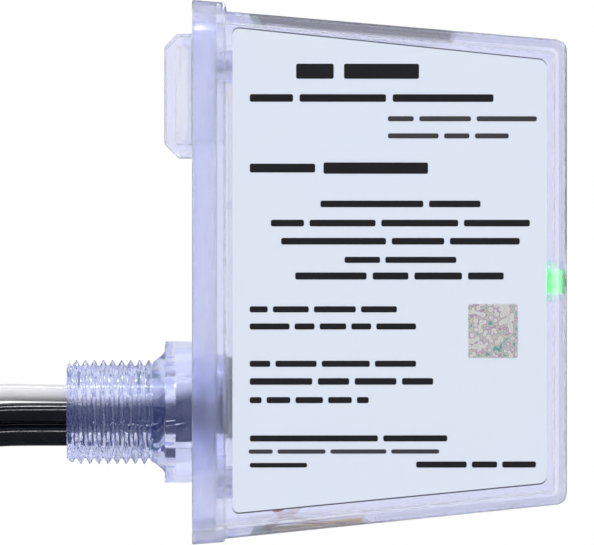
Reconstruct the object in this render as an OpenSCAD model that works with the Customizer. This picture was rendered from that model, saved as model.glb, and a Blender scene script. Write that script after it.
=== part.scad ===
// Surge protector for a house's main panel: a clear drafted box on a threaded nipple, with its three leads.
// The origin is on the nipple's axis, in the plane where the fitting's hexagon and the pad meet the panel.
// +X points from the panel to the front of the box, +Z is up, and +Y goes across the box.

/* [Cover] */
// Distance from the panel's face to the front of the cover
front_x = 80; // [78:0.5:90]
// Where the skirt begins, in front of the panel's face
skirt_x = 5.6; // [5:0.1:6]
// Length of the skirt along X
skirt_length = 6.6; // [6:0.1:7]
// Height of the top of the skirt above the nipple's axis
skirt_top = 82; // [81.8:0.1:84]
// Depth of the bottom of the skirt below the nipple's axis
skirt_drop = 26.1; // [26:0.1:28]
// Width of the skirt
skirt_width = 76; // [76:0.5:80]
// How far the body's top lies inside the skirt's top
top_step = 2.3; // [2:0.1:2.5]
// How far the body's underside lies inside the skirt's underside
bottom_step = 1.2; // [1:0.1:1.5]
// How far the body's sides lie inside the skirt's sides
side_step = 1.6; // [1.4:0.1:1.8]
// How far the top falls from the skirt to the front
top_fall = 5.7; // [5:0.1:6]
// How far the underside rises from the skirt to the front
bottom_rise = 6.9; // [6:0.1:7]
// How far each side closes in from the skirt to the front
side_fall = 6.2; // [5.5:0.1:6.5]
// Thickness of the cover's walls
wall = 2.4; // [2.2:0.1:2.6]
// Radius of the rounding around the front face
front_round = 2.2; // [1.8:0.1:2.4]
// Radius of the four long edges of the body
edge_round = 3.2; // [3:0.1:3.6]

/* [Base] */
// Thickness of the base plate
base_thick = 4.6; // [4:0.1:4.6]
// Height and width of the base plate
base_size = [101, 70.6]; // [100:0.1:102]
// Height of the middle of the base plate
base_mid = 27.4; // [27.2:0.1:27.6]
// Corner radius of the base plate
base_round = 5; // [4:0.1:6]
// Lowest and highest point of the standoff pad
pad_span = [50.8, 75.4]; // [50:0.1:76]
// Width of the standoff pad
pad_width = 44; // [30:1:50]
// Chamfer along the pad's two ends
pad_chamfer = 2.6; // [1:0.1:3]

/* [Fitting] */
// Distance across the hexagon's flats
hex_flats = 24.6; // [24:0.1:25]
// Thickness of the hexagon's end wall and sides
hex_wall = 2.2; // [2:0.1:2.4]
// Radius over the thread's crests
crest_r = 10.4; // [10.3:0.05:10.5]
// Radius at the thread's roots
root_r = 9.25; // [9.1:0.05:9.4]
// Threads in one inch
threads_per_inch = 14; // [14:1:14]
// Number of crests
crests = 9; // [8:1:9]
// Length of the nipple
nipple_length = 19.6; // [19:0.1:21]
// Radius of the nipple's bore
bore_r = 7.5; // [7.4:0.05:7.6]
// Radius of the spigot that passes through the base
spigot_r = 11.5; // [11:0.1:11.8]

/* [Circuit board] */
// Front and back face of the board
board_x = [16, 17.6]; // [16:0.1:18]
// Lowest and highest edge of the board
board_z = [-17, 73]; // [-18:1:74]
// Width of the board
board_width = 60; // [58:1:62]
// Radius of the hole that the leads pass through
lead_hole_r = 13; // [12:0.5:13]
// Distance of the four screws from the middle of the board
screw_y = 27; // [26.5:0.1:27]
// Heights of the lower and the upper screws
screw_z = [-14, 69]; // [-14:0.5:70]

/* [Varistor modules] */
// Distance between neighbouring modules
module_pitch = 16; // [15:0.5:16.5]
// Length along X, thickness along Y and height of a module's case
case_size = [36, 14, 38]; // [14:1:38]
// Wall of a module's case
case_wall = 1.2; // [1:0.1:1.4]
// Lowest point of the cases
case_foot = 33; // [32:0.5:34]
// Travel of an arc shield
shield_travel = 8; // [6:0.5:8]

/* [Leads] */
// Diameter of the two black leads
black_d = 4.3; // [4:0.1:4.3]
// Diameter of the white lead
white_d = 3.4; // [3:0.1:3.6]
// Middle of the coil, along X and Z
coil_mid = [-42, -62]; // [-62:1:-42]
// Mean radius of the coil
coil_r = 25; // [24:0.5:26]

/* [Hidden] */

// Round features stay true circles; a hull's own pieces are a little coarser.
round_fn = 64;
hull_fn = 32;
// Overlap that lets a cut run past a face, or a lug run into a wall.
past = 0.5;
// Gap between an arc shield and what it slides past.
slide_gap = 0.2;
// Gap that keeps two faces which lie together from cutting each other.
hair = 0.01;
// Play of a leg in its hole in the board.
leg_play = 0.05;

pitch = 25.4 / threads_per_inch;
base_x = skirt_x + base_thick;
step_x = skirt_x + skirt_length;
body_top = skirt_top - top_step;
body_bottom = -skirt_drop + bottom_step;
body_half = skirt_width / 2 - side_step;
skirt_wall = 2;
side_angle = atan(side_fall / (front_x - step_x));
led_z = 26.2;
led_y = 1.27;
lead_y = [-12, 0, 12];
lead_x = 23.5;

// Middles of the capacitors, and the round legs that stand in the board: radius, and places on Y and Z.
capacitor_y = 22.5;
leg_r = 0.4;
capacitor_leg_z = [-7.5, 10.5];
resistor_y = [21.5, 26.5, -26.5];
diode_y = -21.5;
axial_z = [15.5, 30.5];

// The modules: inside of a case, and what is in it. The varistor fills one side; the shield slides in the
// other.
module_y = [-module_pitch, 0, module_pitch];
case_x = board_x[1];
inside_y = case_size[1] / 2 - case_wall;
case_end = case_x + case_size[0];
case_top = case_foot + case_size[2];
varistor_face = -0.6;
varistor_leg = [[-5.1, -4.5], [41, 43]];
arm_y = [1.2, 1.7];
arm_leg_z = [63.6, 66.4];
arm_foot = 54.6;
shield_foot = 42.5;
foot_height = 3.5;
bead_z = 56.4;

// The bundle of three leads is 9.3 mm thick, and two turns of it lie side by side in the coil.
bundle = 9.3;
coil_width = 28.1;

// Leads from the mouth of the nipple to the coil, and from the coil to their stripped ends.
route_white = [[-19.6, 1.3, 3.7], [-26, 1.3, 3.8], [-32, 1.2, 3.9], [-38, 0.8, 3.5], [-44, 0.2, 2.3],
    [-50, -0.8, -0.2], [-55.5, -2, -4], [-60, -3.2, -9], [-63.7, -4.5, -15], [-66.3, -5.7, -21.5],
    [-68, -6.8, -28.5], [-69, -7.8, -36], [-69.4, -8.6, -44], [-69.5, -9.1, -52], [-69.5, -9.4, -62]];
route_black_a = [[-19.6, -1, -0.3], [-26, -1, -0.3], [-32, -1, -0.4], [-38, -1.1, -0.9], [-43.5, -1.3, -2.3],
    [-48.5, -1.7, -5], [-53, -2.2, -9], [-57, -2.8, -14.2], [-60.2, -3.6, -20], [-62.6, -4.4, -26.5],
    [-64.2, -5.2, -33.5], [-65.2, -6, -41], [-65.7, -6.7, -50], [-65.75, -7.2, -62]];
route_black_b = [[-19.6, -0.8, -4.6], [-26, -0.8, -4.6], [-32, -0.9, -4.7], [-37, -1.3, -5.2],
    [-41.8, -2, -6.6], [-46.2, -3, -9.2], [-50, -4.2, -12.8], [-53.6, -5.5, -17.5], [-57, -6.8, -23],
    [-60, -8, -29], [-62.6, -9.2, -35.5], [-64.4, -10.3, -42.5], [-65.5, -11.2, -51], [-65.75, -11.6, -62]];
tail_white = [[-69.5, 9.4, -62], [-69.5, 9.4, -68], [-69.7, 9.4, -74], [-70, 9.4, -80], [-70.5, 9.4, -86],
    [-71.2, 9.4, -91]];
tail_black_a = [[-65.75, 11.6, -62], [-65.7, 11.7, -68], [-65.6, 12, -74], [-65.4, 12.5, -80],
    [-65, 13.2, -86], [-64.5, 14, -91]];
tail_black_b = [[-65.75, 7.2, -62], [-65.8, 7.1, -68], [-65.8, 6.8, -74], [-65.7, 6.3, -80],
    [-65.5, 5.6, -86], [-65.2, 4.8, -91]];
// The same leads inside the nipple and the box, up to the terminals.
inner_white = [[-19.6, 1.3, 3.7], [-14, 1.2, 3.5], [-8, 1.2, 3.5], [-3, 1.4, 3.4], [1.4, 1.6, 3.5],
    [5.4, 1.6, 4.7], [9, 1.4, 6], [12.5, 1.1, 7.3], [16, 0.8, 8.6], [19.3, 0.4, 10.4], [22, 0.1, 13],
    [23.4, 0, 16], [23.5, 0, 18], [23.5, 0, 22]];
inner_black_a = [[-19.6, -1, -0.3], [-14, -1, -0.3], [-8, -1, -0.3], [-3, -1, -0.4], [1.4, -1, -0.3],
    [5.4, -1, 0.9], [9, -1.2, 2.1], [12.5, -1.8, 3.2], [16, -3, 4.2], [19.3, -5, 5.5], [22, -7.6, 7.8],
    [23.4, -10, 11], [23.5, -11.7, 14.8], [23.5, -12, 18], [23.5, -12, 22]];
inner_black_b = [[-19.6, -0.8, -4.6], [-14, -0.8, -4.6], [-8, -0.8, -4.7], [-3, -0.8, -4.9],
    [1.4, -0.8, -4.9], [5.4, -0.8, -3.6], [9, -0.4, -2.4], [12.5, 0.4, -1.3], [16, 2, -0.2], [19.3, 4.4, 1.5],
    [22, 7.4, 4.4], [23.4, 10, 8.4], [23.5, 11.7, 13], [23.5, 12, 18], [23.5, 12, 22]];
// The indicator's thin wires, from the board's lower edge to the sleeves behind the lamp.
thin_red = [[18.2, 7, -14.5], [19.6, 7, -16.4], [20.8, 6.9, -18.6], [22.4, 6.8, -19.4], [24.2, 6.6, -18.6],
    [26.5, 6.3, -16.6], [30, 5.8, -13], [35, 5, -7.5], [40, 4.2, -1.5], [45, 3.4, 5], [49.5, 2.6, 11.5],
    [53, 1.9, 17.5], [55.8, 1.5, 22], [58, 1.3, 25], [60.5, 1.27, 26.1], [63, 1.27, 26.2]];
thin_black = [[18.2, 4, -14.5], [20, 4, -15.5], [22.5, 3.8, -15.5], [25.5, 3.4, -14], [30, 2.6, -10.5],
    [35, 1.6, -5.2], [40, 0.6, 0.8], [45, -0.2, 7.2], [49.5, -0.8, 13.5], [53, -1.1, 19], [55.8, -1.25, 23],
    [58.2, -1.27, 25.5], [60.5, -1.27, 26.2], [63, -1.27, 26.2]];

// ---- Shared shapes ----

function unit(v) = v / norm(v);

function heading(points, i) =
    let (last = len(points) - 1)
    i == 0 ? unit(points[1] - points[0])
    : i == last ? unit(points[last] - points[last - 1])
    : unit(points[i + 1] - points[i - 1]);

// A ring of points around one point of a route, square to the route there.
function ring_at(points, i, r, sides) =
    let (along = heading(points, i), up = unit(cross(along, [0, 1, 0])), across = cross(up, along))
    [for (k = [0 : sides - 1]) points[i] + r * (cos(360 * k / sides) * up + sin(360 * k / sides) * across)];

module tube_along(points, d, sides) {
    rings = len(points);
    walls = [for (i = [0 : rings - 2], k = [0 : sides - 1], half = [0, 1])
        let (a = i * sides + k, b = i * sides + (k + 1) % sides)
        half == 0 ? [a, a + sides, b] : [b, a + sides, b + sides]];
    near_end = [[for (k = [0 : sides - 1]) k]];
    far_end = [[for (k = [sides - 1 : -1 : 0]) (rings - 1) * sides + k]];
    polyhedron(points = [for (i = [0 : rings - 1]) each ring_at(points, i, d / 2, sides)],
        faces = concat(walls, near_end, far_end));
}

// A box between two corners.
module span(low, high) translate(low) cube(high - low);

// A rod or a hole along X.
module rod_x(x0, x1, y, z, r) {
    translate([x0, y, z]) rotate([0, 90, 0]) cylinder(h = x1 - x0, r = r, $fn = round_fn);
}

// A thin disc that lies in a plane of constant X, one of a hull's corners.
module corner_disc(x, y, z, r) {
    translate([x, y, z]) rotate([0, 90, 0]) cylinder(h = 0.01, r = r, $fn = hull_fn);
}

// Four discs in the corners of an outline at x, which reaches from low to high and half wide on each side.
module corner_discs(x, low, high, half, r, inset) {
    for (y = [-half + inset, half - inset], z = [low + inset, high - inset]) corner_disc(x, y, z, r);
}

// Lowest point, highest point and half width of the cover's body at x, taken in by a margin.
function body_low(x, inward) = body_bottom + bottom_rise * (x - step_x) / (front_x - step_x) + inward;
function body_high(x, inward) = body_top - top_fall * (x - step_x) / (front_x - step_x) - inward;
function body_side(x, inward) = body_half - side_fall * (x - step_x) / (front_x - step_x) - inward;

// A drafted block with rounded edges from x0 to x1, taken in by a margin all round.
module drafted_block(x0, x1, inward, r_edge, r_front) {
    arc_x = x1 - r_front;
    hull() {
        corner_discs(x0, body_low(x0, inward), body_high(x0, inward), body_side(x0, inward), r_edge, r_edge);
        for (a = [0 : 22.5 : 90])
            corner_discs(arc_x + r_front * sin(a) - 0.01, body_low(arc_x, inward), body_high(arc_x, inward),
                body_side(arc_x, inward), r_edge - r_front * (1 - cos(a)), r_edge);
    }
}

// The skirt's block, taken in by a margin; its sides follow the body's draft.
module skirt_block(x0, x1, inward, r) {
    lean = 0.09;
    hull() for (x = [x0, x1])
        let (in = inward + lean * (x - skirt_x))
            corner_discs(x, -skirt_drop + in, skirt_top - in, skirt_width / 2 - in, r, r);
}

// A rounded rectangle in the plane of constant X, drawn on Y and Z.
module rounded_plate(x0, x1, size, mid_z, r) {
    translate([x0, 0, mid_z]) rotate([90, 0, 90]) linear_extrude(x1 - x0) {
        square([size[1] - 2 * r, size[0]], center = true);
        square([size[1], size[0] - 2 * r], center = true);
        for (y = [-1, 1], z = [-1, 1])
            translate([y * (size[1] / 2 - r), z * (size[0] / 2 - r)]) circle(r, $fn = round_fn);
    }
}

// ---- Housing ----

module cover() {
    boss = [2.6, 4.2];
    color([0.85, 0.86, 0.97, 0.35]) {
        difference() {
            union() {
                drafted_block(step_x - 1, front_x, 0, edge_round, front_round);
                skirt_block(skirt_x, step_x - 0.6, 0, 4);
                skirt_block(step_x - 0.7, step_x, 0.6, 3.6);
            }
            drafted_block(skirt_x, front_x - wall, wall, 2, 1);
            skirt_block(skirt_x - past, base_x, skirt_wall, 4);
        }
        difference() {
            rod_x(front_x - wall - 5, front_x - wall + 0.2, 0, led_z, boss[1]);
            rod_x(front_x - wall - 5 - past, front_x - wall, 0, led_z, boss[0]);
        }
    }
}

module base() {
    pocket = 2.2;
    color([0.8, 0.82, 0.95, 0.35]) difference() {
        union() {
            rounded_plate(skirt_x, base_x, base_size, base_mid, base_round);
            translate([0, pad_width / 2, 0]) rotate([90, 0, 0]) linear_extrude(pad_width)
                polygon([[skirt_x + past, pad_span[0]], [pad_chamfer, pad_span[0]],
                    [0, pad_span[0] + pad_chamfer], [0, pad_span[1] - pad_chamfer],
                    [pad_chamfer, pad_span[1]], [skirt_x + past, pad_span[1]]]);
            for (y = [-screw_y, screw_y], z = screw_z) rod_x(base_x - past, board_x[0], y, z, 3);
        }
        rod_x(skirt_x - past, base_x + past, 0, 0, spigot_r + 0.05);
        for (y = [-screw_y, screw_y], z = screw_z) rod_x(base_x - 1, board_x[0] + past, y, z, 1.1);
        span([pocket, -pad_width / 2 + pocket, pad_span[0] + pad_chamfer],
            [base_x + past, pad_width / 2 - pocket, pad_span[1] - pad_chamfer]);
    }
}

// The thread's outline, from the mouth to the shoulder: a crest land on every pitch.
module hex_nipple() {
    land = 0.3;
    mouth = -nipple_length;
    first = mouth + 1.87;
    last = first + (crests - 1) * pitch;
    hex_r = hex_flats / 2 / cos(30);
    hollow_r = (hex_flats / 2 - hex_wall) / cos(30);
    thread = [for (i = [0 : crests - 1]) let (x = first + i * pitch) each [
        [x - pitch / 2 + 0.1, root_r], [x - land / 2, crest_r], [x + land / 2, crest_r],
        [x + pitch / 2 - 0.1, root_r]]];
    outline = concat([[mouth, bore_r], [mouth, root_r]], thread,
        [[last + pitch / 2 + 0.3, root_r + 0.7], [-1.6, root_r + 1.2], [-0.5, root_r + 1.9],
        [0, root_r + 2.8], [0.5, root_r + 2.8], [0.5, bore_r]]);
    color([0.86, 0.88, 0.98, 0.35]) difference() {
        union() {
            rotate([0, 90, 0]) rotate_extrude($fn = round_fn) polygon([for (p = outline) [p[1], p[0]]]);
            rotate([90, 0, 90]) linear_extrude(skirt_x) rotate(90) circle(hex_r, $fn = 6);
            rod_x(skirt_x - past, base_x + 1, 0, 0, spigot_r);
        }
        rod_x(-nipple_length - past, front_x, 0, 0, bore_r);
        translate([hex_wall, 0, 0]) rotate([90, 0, 90]) linear_extrude(skirt_x - hex_wall)
            rotate(90) circle(hollow_r, $fn = 6);
        rod_x(skirt_x - 0.01, base_x + 1 + past, 0, 0, spigot_r - 2.1);
    }
}

module rim_seal() {
    color([0.9, 0.92, 1, 0.5]) difference() {
        skirt_block(skirt_x + 0.3, base_x, skirt_wall, 4);
        rounded_plate(skirt_x, base_x + past, base_size, base_mid, base_round);
    }
}

// A sheet on the cover's near side, drawn from its corners along the wall and up, a gap away from the wall.
module side_sheet(corners, out, thick) {
    translate([step_x, -body_half, 0]) rotate([0, 0, side_angle]) translate([0, -out, 0])
        rotate([90, 0, 0]) linear_extrude(thick) polygon(corners);
}

module side_label() {
    nip = 1;
    low = [-19.8, -13.8];
    high = [76.4, 70];
    ends = [1.4, 64];
    color("aliceblue") side_sheet([[ends[0], low[0] + nip], [ends[0] + nip, low[0]], [ends[1] - nip, low[1]],
        [ends[1], low[1] + nip], [ends[1], high[1] - nip], [ends[1] - nip, high[1]], [ends[0] + nip, high[0]],
        [ends[0], high[0] - nip]], hair, 0.2);
}

module foil_sticker() {
    color("lightsteelblue")
        side_sheet([[48.2, 11], [58.2, 11], [58.2, 21.6], [48.2, 21.6]], 0.2 + 2 * hair, 0.1);
}

// ---- Circuit board and what stands on it ----

// A hole through the board.
module board_hole(y, z, r) rod_x(board_x[0] - past, board_x[1] + past, y, z, r);

// A slot through the board, with play round a flat leg that spans these places on Y and Z.
module board_slot(y, z) {
    span([board_x[0] - past, y[0] - leg_play, z[0] - leg_play],
        [board_x[1] + past, y[1] + leg_play, z[1] + leg_play]);
}

module circuit_board() {
    color("darkgreen") difference() {
        span([board_x[0], -board_width / 2, board_z[0]], [board_x[1], board_width / 2, board_z[1]]);
        board_hole(0, 3, lead_hole_r);
        for (y = [-screw_y, screw_y], z = screw_z) board_hole(y, z, 1.6);
        for (y = [-capacitor_y, capacitor_y], z = capacitor_leg_z) board_hole(y, z, leg_r + leg_play);
        for (y = concat(resistor_y, [diode_y]), z = axial_z) board_hole(y, z, leg_r + leg_play);
        for (y = module_y) {
            board_slot([y + varistor_leg[0][0], y + varistor_leg[0][1]], varistor_leg[1]);
            board_slot([y + arm_y[0], y + arm_y[1]], arm_leg_z);
        }
    }
}

module board_screws() {
    color("silver") for (y = [-screw_y, screw_y], z = screw_z) {
        rod_x(base_x, board_x[1] + 0.1, y, z, 1.1 - hair);
        difference() {
            rod_x(board_x[1], board_x[1] + 1.8, y, z, 2.8);
            for (a = [0, 90]) translate([board_x[1] + 1, y, z]) rotate([a, 0, 0])
                translate([0, -1.6, -0.3]) cube([2, 3.2, 0.6]);
        }
    }
}

module terminal_block() {
    color("darkslategray") difference() {
        span([board_x[1], -18, 18], [board_x[1] + 12, 18, 30]);
        for (y = lead_y) {
            translate([lead_x, y, 17]) cylinder(h = 8, r = 2.3, $fn = round_fn);
            rod_x(lead_x, board_x[1] + 13, y, 21.5, 2.2);
        }
        for (y = [-6, 6]) span([board_x[1] + 8, y - 0.8, 17], [board_x[1] + 13, y + 0.8, 31]);
    }
}

module terminal_screws() {
    color("gainsboro") for (y = lead_y) difference() {
        rod_x(lead_x + 2.2, board_x[1] + 10.4, y, 21.5, 2.1);
        span([board_x[1] + 9.4, y - 0.4, 19], [board_x[1] + 11, y + 0.4, 24]);
    }
}

module film_capacitor(side) {
    mid = side * capacitor_y;
    color("goldenrod") {
        span([board_x[1], mid - 6, -10.5], [board_x[1] + 19, mid + 6, 13.5]);
        for (z = capacitor_leg_z) rod_x(board_x[0] - 1, board_x[1] + 0.4, mid, z, leg_r);
    }
}

module film_capacitor_left() film_capacitor(-1);
module film_capacitor_right() film_capacitor(1);

// An axial component that stands off the board and lies along Z.
module axial_part(y, r) {
    x = board_x[1] + r + 0.4;
    length = axial_z[1] - axial_z[0];
    translate([x, y, axial_z[0] + 2]) cylinder(h = length - 4, r = r, $fn = round_fn);
    translate([x, y, axial_z[0]]) cylinder(h = length, r = 0.3, $fn = 24);
    for (z = axial_z) rod_x(board_x[0] - 0.8, x + 0.5, y, z, leg_r);
}

module resistors() {
    color("tan") for (y = resistor_y) axial_part(y, 1.3);
}

module diode() {
    color("black") axial_part(diode_y, 1.4);
}

// ---- Indicator ----

module indicator_led() {
    dome_x = 74.9;
    color("lime") {
        rod_x(69.8, dome_x, 0, led_z, 2.5);
        rod_x(68.8, 69.9, 0, led_z, 2.9);
        intersection() {
            translate([dome_x, 0, led_z]) rotate([0, 90, 0]) rotate_extrude($fn = round_fn)
                intersection() {
                    circle(2.5, $fn = round_fn);
                    translate([0, -3]) square([3, 6]);
                }
            span([dome_x - past, -3, led_z - 3], [dome_x + 3, 3, led_z + 3]);
        }
        for (y = [-led_y, led_y]) span([63.1, y - 0.25, led_z - 0.25], [69, y + 0.25, led_z + 0.25]);
    }
}

module led_sleeves() {
    color("black") for (y = [-led_y, led_y]) difference() {
        rod_x(61, 67.5, y, led_z, 1.15);
        rod_x(63, 68, y, led_z, 0.4);
        rod_x(60, 63, y, led_z, 0.75);
    }
}

module led_wire_red() color("red") tube_along(thin_red, 1.4, 8);
module led_wire_black() color("black") tube_along(thin_black, 1.4, 8);

// ---- Leads inside the box ----

module inner_lead_white() color("white") tube_along(inner_white, white_d, 8);
module inner_lead_black_a() color("black") tube_along(inner_black_a, black_d, 10);
module inner_lead_black_b() color("black") tube_along(inner_black_b, black_d, 10);

module inner_tie() {
    low = [11.6, -5.9, -5.2];
    high = [14.4, 4.7, 11.1];
    strap = 1.1;
    color("whitesmoke") {
        difference() {
            span(low, high);
            span([low[0] - past, low[1] + strap, low[2] + strap],
                [high[0] + past, high[1] - strap, high[2] - strap]);
        }
        span([low[0] - 0.6, high[1] - 0.1, 1.4], [high[0] + 0.6, high[1] + 3.4, 5.6]);
    }
}

// ---- Thermally protected varistor modules ----

module varistor_case(i) {
    y = module_y[i];
    color("dimgray") difference() {
        span([case_x, y - case_size[1] / 2, case_foot], [case_end, y + case_size[1] / 2, case_top]);
        span([case_x + case_wall, y - inside_y, case_foot + case_wall],
            [case_end + past, y + inside_y, case_top - case_wall]);
        span([case_x - past, y + varistor_leg[0][0] - slide_gap, varistor_leg[1][0] - slide_gap],
            [case_x + case_wall + past, y + varistor_leg[0][1] + slide_gap, varistor_leg[1][1] + slide_gap]);
        span([case_x - past, y + arm_y[0] - slide_gap, arm_leg_z[0] - slide_gap],
            [case_x + case_wall + past, y + arm_y[1] + slide_gap, arm_leg_z[1] + slide_gap]);
    }
}

module varistor_lid(i) {
    y = module_y[i];
    window = [case_foot + 2.6, shield_foot + foot_height + shield_travel + 2.4];
    color("gray") difference() {
        union() {
            span([case_end, y - case_size[1] / 2, case_foot],
                [case_end + 1.4, y + case_size[1] / 2, case_top]);
            span([case_end - 1, y - inside_y + 0.1, case_foot + case_wall + 0.1],
                [case_end + 0.1, y + inside_y - 0.1, case_top - case_wall - 0.1]);
        }
        span([case_end - 2, y + 1.6, window[0]], [case_end + 2, y + 4.4, window[1]]);
    }
}

module varistor(i) {
    y = module_y[i];
    mid = [35.5, 52];
    r = 3;
    side = 30;
    color("steelblue") {
        translate([mid[0], y + varistor_face, mid[1]]) rotate([90, 0, 0]) linear_extrude(5) {
            square([side - 2 * r, side], center = true);
            square([side, side - 2 * r], center = true);
            for (a = [-1, 1], b = [-1, 1])
                translate([a * (side / 2 - r), b * (side / 2 - r)]) circle(r, $fn = round_fn);
        }
        span([board_x[0] - 1.2, y + varistor_leg[0][0], varistor_leg[1][0]],
            [21, y + varistor_leg[0][1], varistor_leg[1][1]]);
    }
}

module contact_arm(i) {
    y = module_y[i];
    color("orange") {
        span([board_x[0] - 1.2, y + arm_y[0], arm_leg_z[0]], [37, y + arm_y[1], arm_leg_z[1]]);
        span([33, y + arm_y[0], arm_foot], [37, y + arm_y[1], arm_leg_z[1]]);
    }
}

module solder_bead(i) {
    color("silver") translate([35, module_y[i] + arm_y[0], bead_z]) rotate([90, 0, 0])
        cylinder(h = arm_y[0] - varistor_face, r = 1.8, $fn = round_fn);
}

// The plate slides between the varistor and the arm. Its thick foot sits on the spring, behind the window.
module arc_shield(i) {
    y = module_y[i];
    plate = [varistor_face + slide_gap, arm_y[0] - slide_gap];
    color("darkorange") {
        span([22, y + plate[0], shield_foot], [50, y + plate[1], shield_foot + 12]);
        span([24, y + plate[0], shield_foot], [52.2, y + inside_y - 0.3, shield_foot + foot_height]);
    }
}

module shield_spring(i) {
    z0 = case_foot + case_wall;
    color("lightgray") translate([35, module_y[i] + 2.6, z0]) rotate_extrude($fn = round_fn)
        translate([1.6, 0]) square([0.7, shield_foot - z0]);
}

module case_a() varistor_case(0);
module lid_a() varistor_lid(0);
module varistor_a() varistor(0);
module contact_arm_a() contact_arm(0);
module solder_bead_a() solder_bead(0);
module arc_shield_a() arc_shield(0);
module spring_a() shield_spring(0);
module case_b() varistor_case(1);
module lid_b() varistor_lid(1);
module varistor_b() varistor(1);
module contact_arm_b() contact_arm(1);
module solder_bead_b() solder_bead(1);
module arc_shield_b() arc_shield(1);
module spring_b() shield_spring(1);
module case_c() varistor_case(2);
module lid_c() varistor_lid(2);
module varistor_c() varistor(2);
module contact_arm_c() contact_arm(2);
module solder_bead_c() solder_bead(2);
module arc_shield_c() arc_shield(2);
module spring_c() shield_spring(2);

// ---- Free leads ----

module lead_white() color("white") {
    tube_along(route_white, white_d, 8);
    tube_along(tail_white, white_d, 8);
}

module lead_black_a() color("black") {
    tube_along(route_black_a, black_d, 10);
    tube_along(tail_black_a, black_d, 10);
}

module lead_black_b() color("black") {
    tube_along(route_black_b, black_d, 10);
    tube_along(tail_black_b, black_d, 10);
}

// A stripped end carries straight on from the last two points of its tail.
module stripped_end(tail, r) {
    last = tail[len(tail) - 1];
    away = unit(last - tail[len(tail) - 2]);
    tube_along([last, last + 10 * away], 2 * r, 8);
}

module stripped_ends() color("chocolate") {
    stripped_end(tail_white, 1);
    stripped_end(tail_black_a, 1.3);
    stripped_end(tail_black_b, 1.3);
}

module lead_coil() {
    color("black") translate([coil_mid[0], 0, coil_mid[1]]) rotate([90, 0, 0]) rotate_extrude($fn = round_fn)
        translate([coil_r - bundle / 2, -coil_width / 2]) square([bundle, coil_width]);
}

module coil_tie() {
    strap = 1.2;
    reach = [coil_mid[0] + coil_r - bundle / 2 - 0.4, coil_mid[0] + coil_r + bundle / 2 + 0.3];
    half = coil_width / 2 + 0.3;
    color("whitesmoke") {
        difference() {
            span([reach[0] - strap, -half - strap, coil_mid[1] - 1.8],
                [reach[1] + strap, half + strap, coil_mid[1] + 1.8]);
            span([reach[0], -half, coil_mid[1] - 2.5], [reach[1], half, coil_mid[1] + 2.5]);
        }
        span([reach[1] + strap - 0.1, -3, coil_mid[1] - 2.6], [reach[1] + strap + 3.2, 2, coil_mid[1] + 2.6]);
        span([reach[1] + strap + 0.8, 2, coil_mid[1] - 1.6], [reach[1] + strap + 1.9, 9, coil_mid[1] + 1.6]);
    }
}

cover();
base();
hex_nipple();
rim_seal();
side_label();
foil_sticker();
circuit_board();
board_screws();
terminal_block();
terminal_screws();
film_capacitor_left();
film_capacitor_right();
resistors();
diode();
indicator_led();
led_sleeves();
led_wire_red();
led_wire_black();
inner_lead_white();
inner_lead_black_a();
inner_lead_black_b();
inner_tie();
case_a();
lid_a();
varistor_a();
contact_arm_a();
solder_bead_a();
arc_shield_a();
spring_a();
case_b();
lid_b();
varistor_b();
contact_arm_b();
solder_bead_b();
arc_shield_b();
spring_b();
case_c();
lid_c();
varistor_c();
contact_arm_c();
solder_bead_c();
arc_shield_c();
spring_c();
lead_white();
lead_black_a();
lead_black_b();
stripped_ends();
lead_coil();
coil_tie();
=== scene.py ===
"""Looks of a clear-boxed surge protector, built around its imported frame.

The frame holds every size and place. This script gives the box its drafted glass-clear shell, the nipple its
helical thread, the side its printed film, the board its parts, and the leads their free lengths and tied coil.
"""
import logging
import math
from contextlib import contextmanager
from dataclasses import dataclass, field
from enum import Enum
from typing import Callable, Iterable, Iterator, Sequence

import bmesh
import bpy
from mathutils import Matrix, Vector


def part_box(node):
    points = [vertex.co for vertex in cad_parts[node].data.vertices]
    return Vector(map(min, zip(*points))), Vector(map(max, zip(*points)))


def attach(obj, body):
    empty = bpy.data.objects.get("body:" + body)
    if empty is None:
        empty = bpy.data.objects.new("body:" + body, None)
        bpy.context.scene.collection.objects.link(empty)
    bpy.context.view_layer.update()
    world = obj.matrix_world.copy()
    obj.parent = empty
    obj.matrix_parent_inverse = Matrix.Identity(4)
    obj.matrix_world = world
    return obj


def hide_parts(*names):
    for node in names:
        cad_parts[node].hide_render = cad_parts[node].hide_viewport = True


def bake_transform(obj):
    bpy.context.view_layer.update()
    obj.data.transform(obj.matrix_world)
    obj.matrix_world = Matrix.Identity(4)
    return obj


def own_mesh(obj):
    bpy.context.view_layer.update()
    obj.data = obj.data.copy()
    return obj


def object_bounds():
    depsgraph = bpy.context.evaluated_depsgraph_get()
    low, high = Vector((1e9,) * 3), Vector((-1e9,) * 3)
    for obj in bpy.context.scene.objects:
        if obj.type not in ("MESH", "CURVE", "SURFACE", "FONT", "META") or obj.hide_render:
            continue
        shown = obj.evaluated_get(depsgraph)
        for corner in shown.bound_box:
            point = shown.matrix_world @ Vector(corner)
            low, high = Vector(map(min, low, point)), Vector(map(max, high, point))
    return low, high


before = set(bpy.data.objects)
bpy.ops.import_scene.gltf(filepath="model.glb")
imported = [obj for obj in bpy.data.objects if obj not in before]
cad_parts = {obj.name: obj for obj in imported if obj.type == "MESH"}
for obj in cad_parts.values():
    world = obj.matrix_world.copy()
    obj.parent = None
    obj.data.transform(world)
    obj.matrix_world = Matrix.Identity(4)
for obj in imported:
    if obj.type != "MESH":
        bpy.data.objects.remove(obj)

CAD_BOUNDS = [list(corner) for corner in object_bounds()]
MM = 0.001
HOUSING = "housing"
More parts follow.
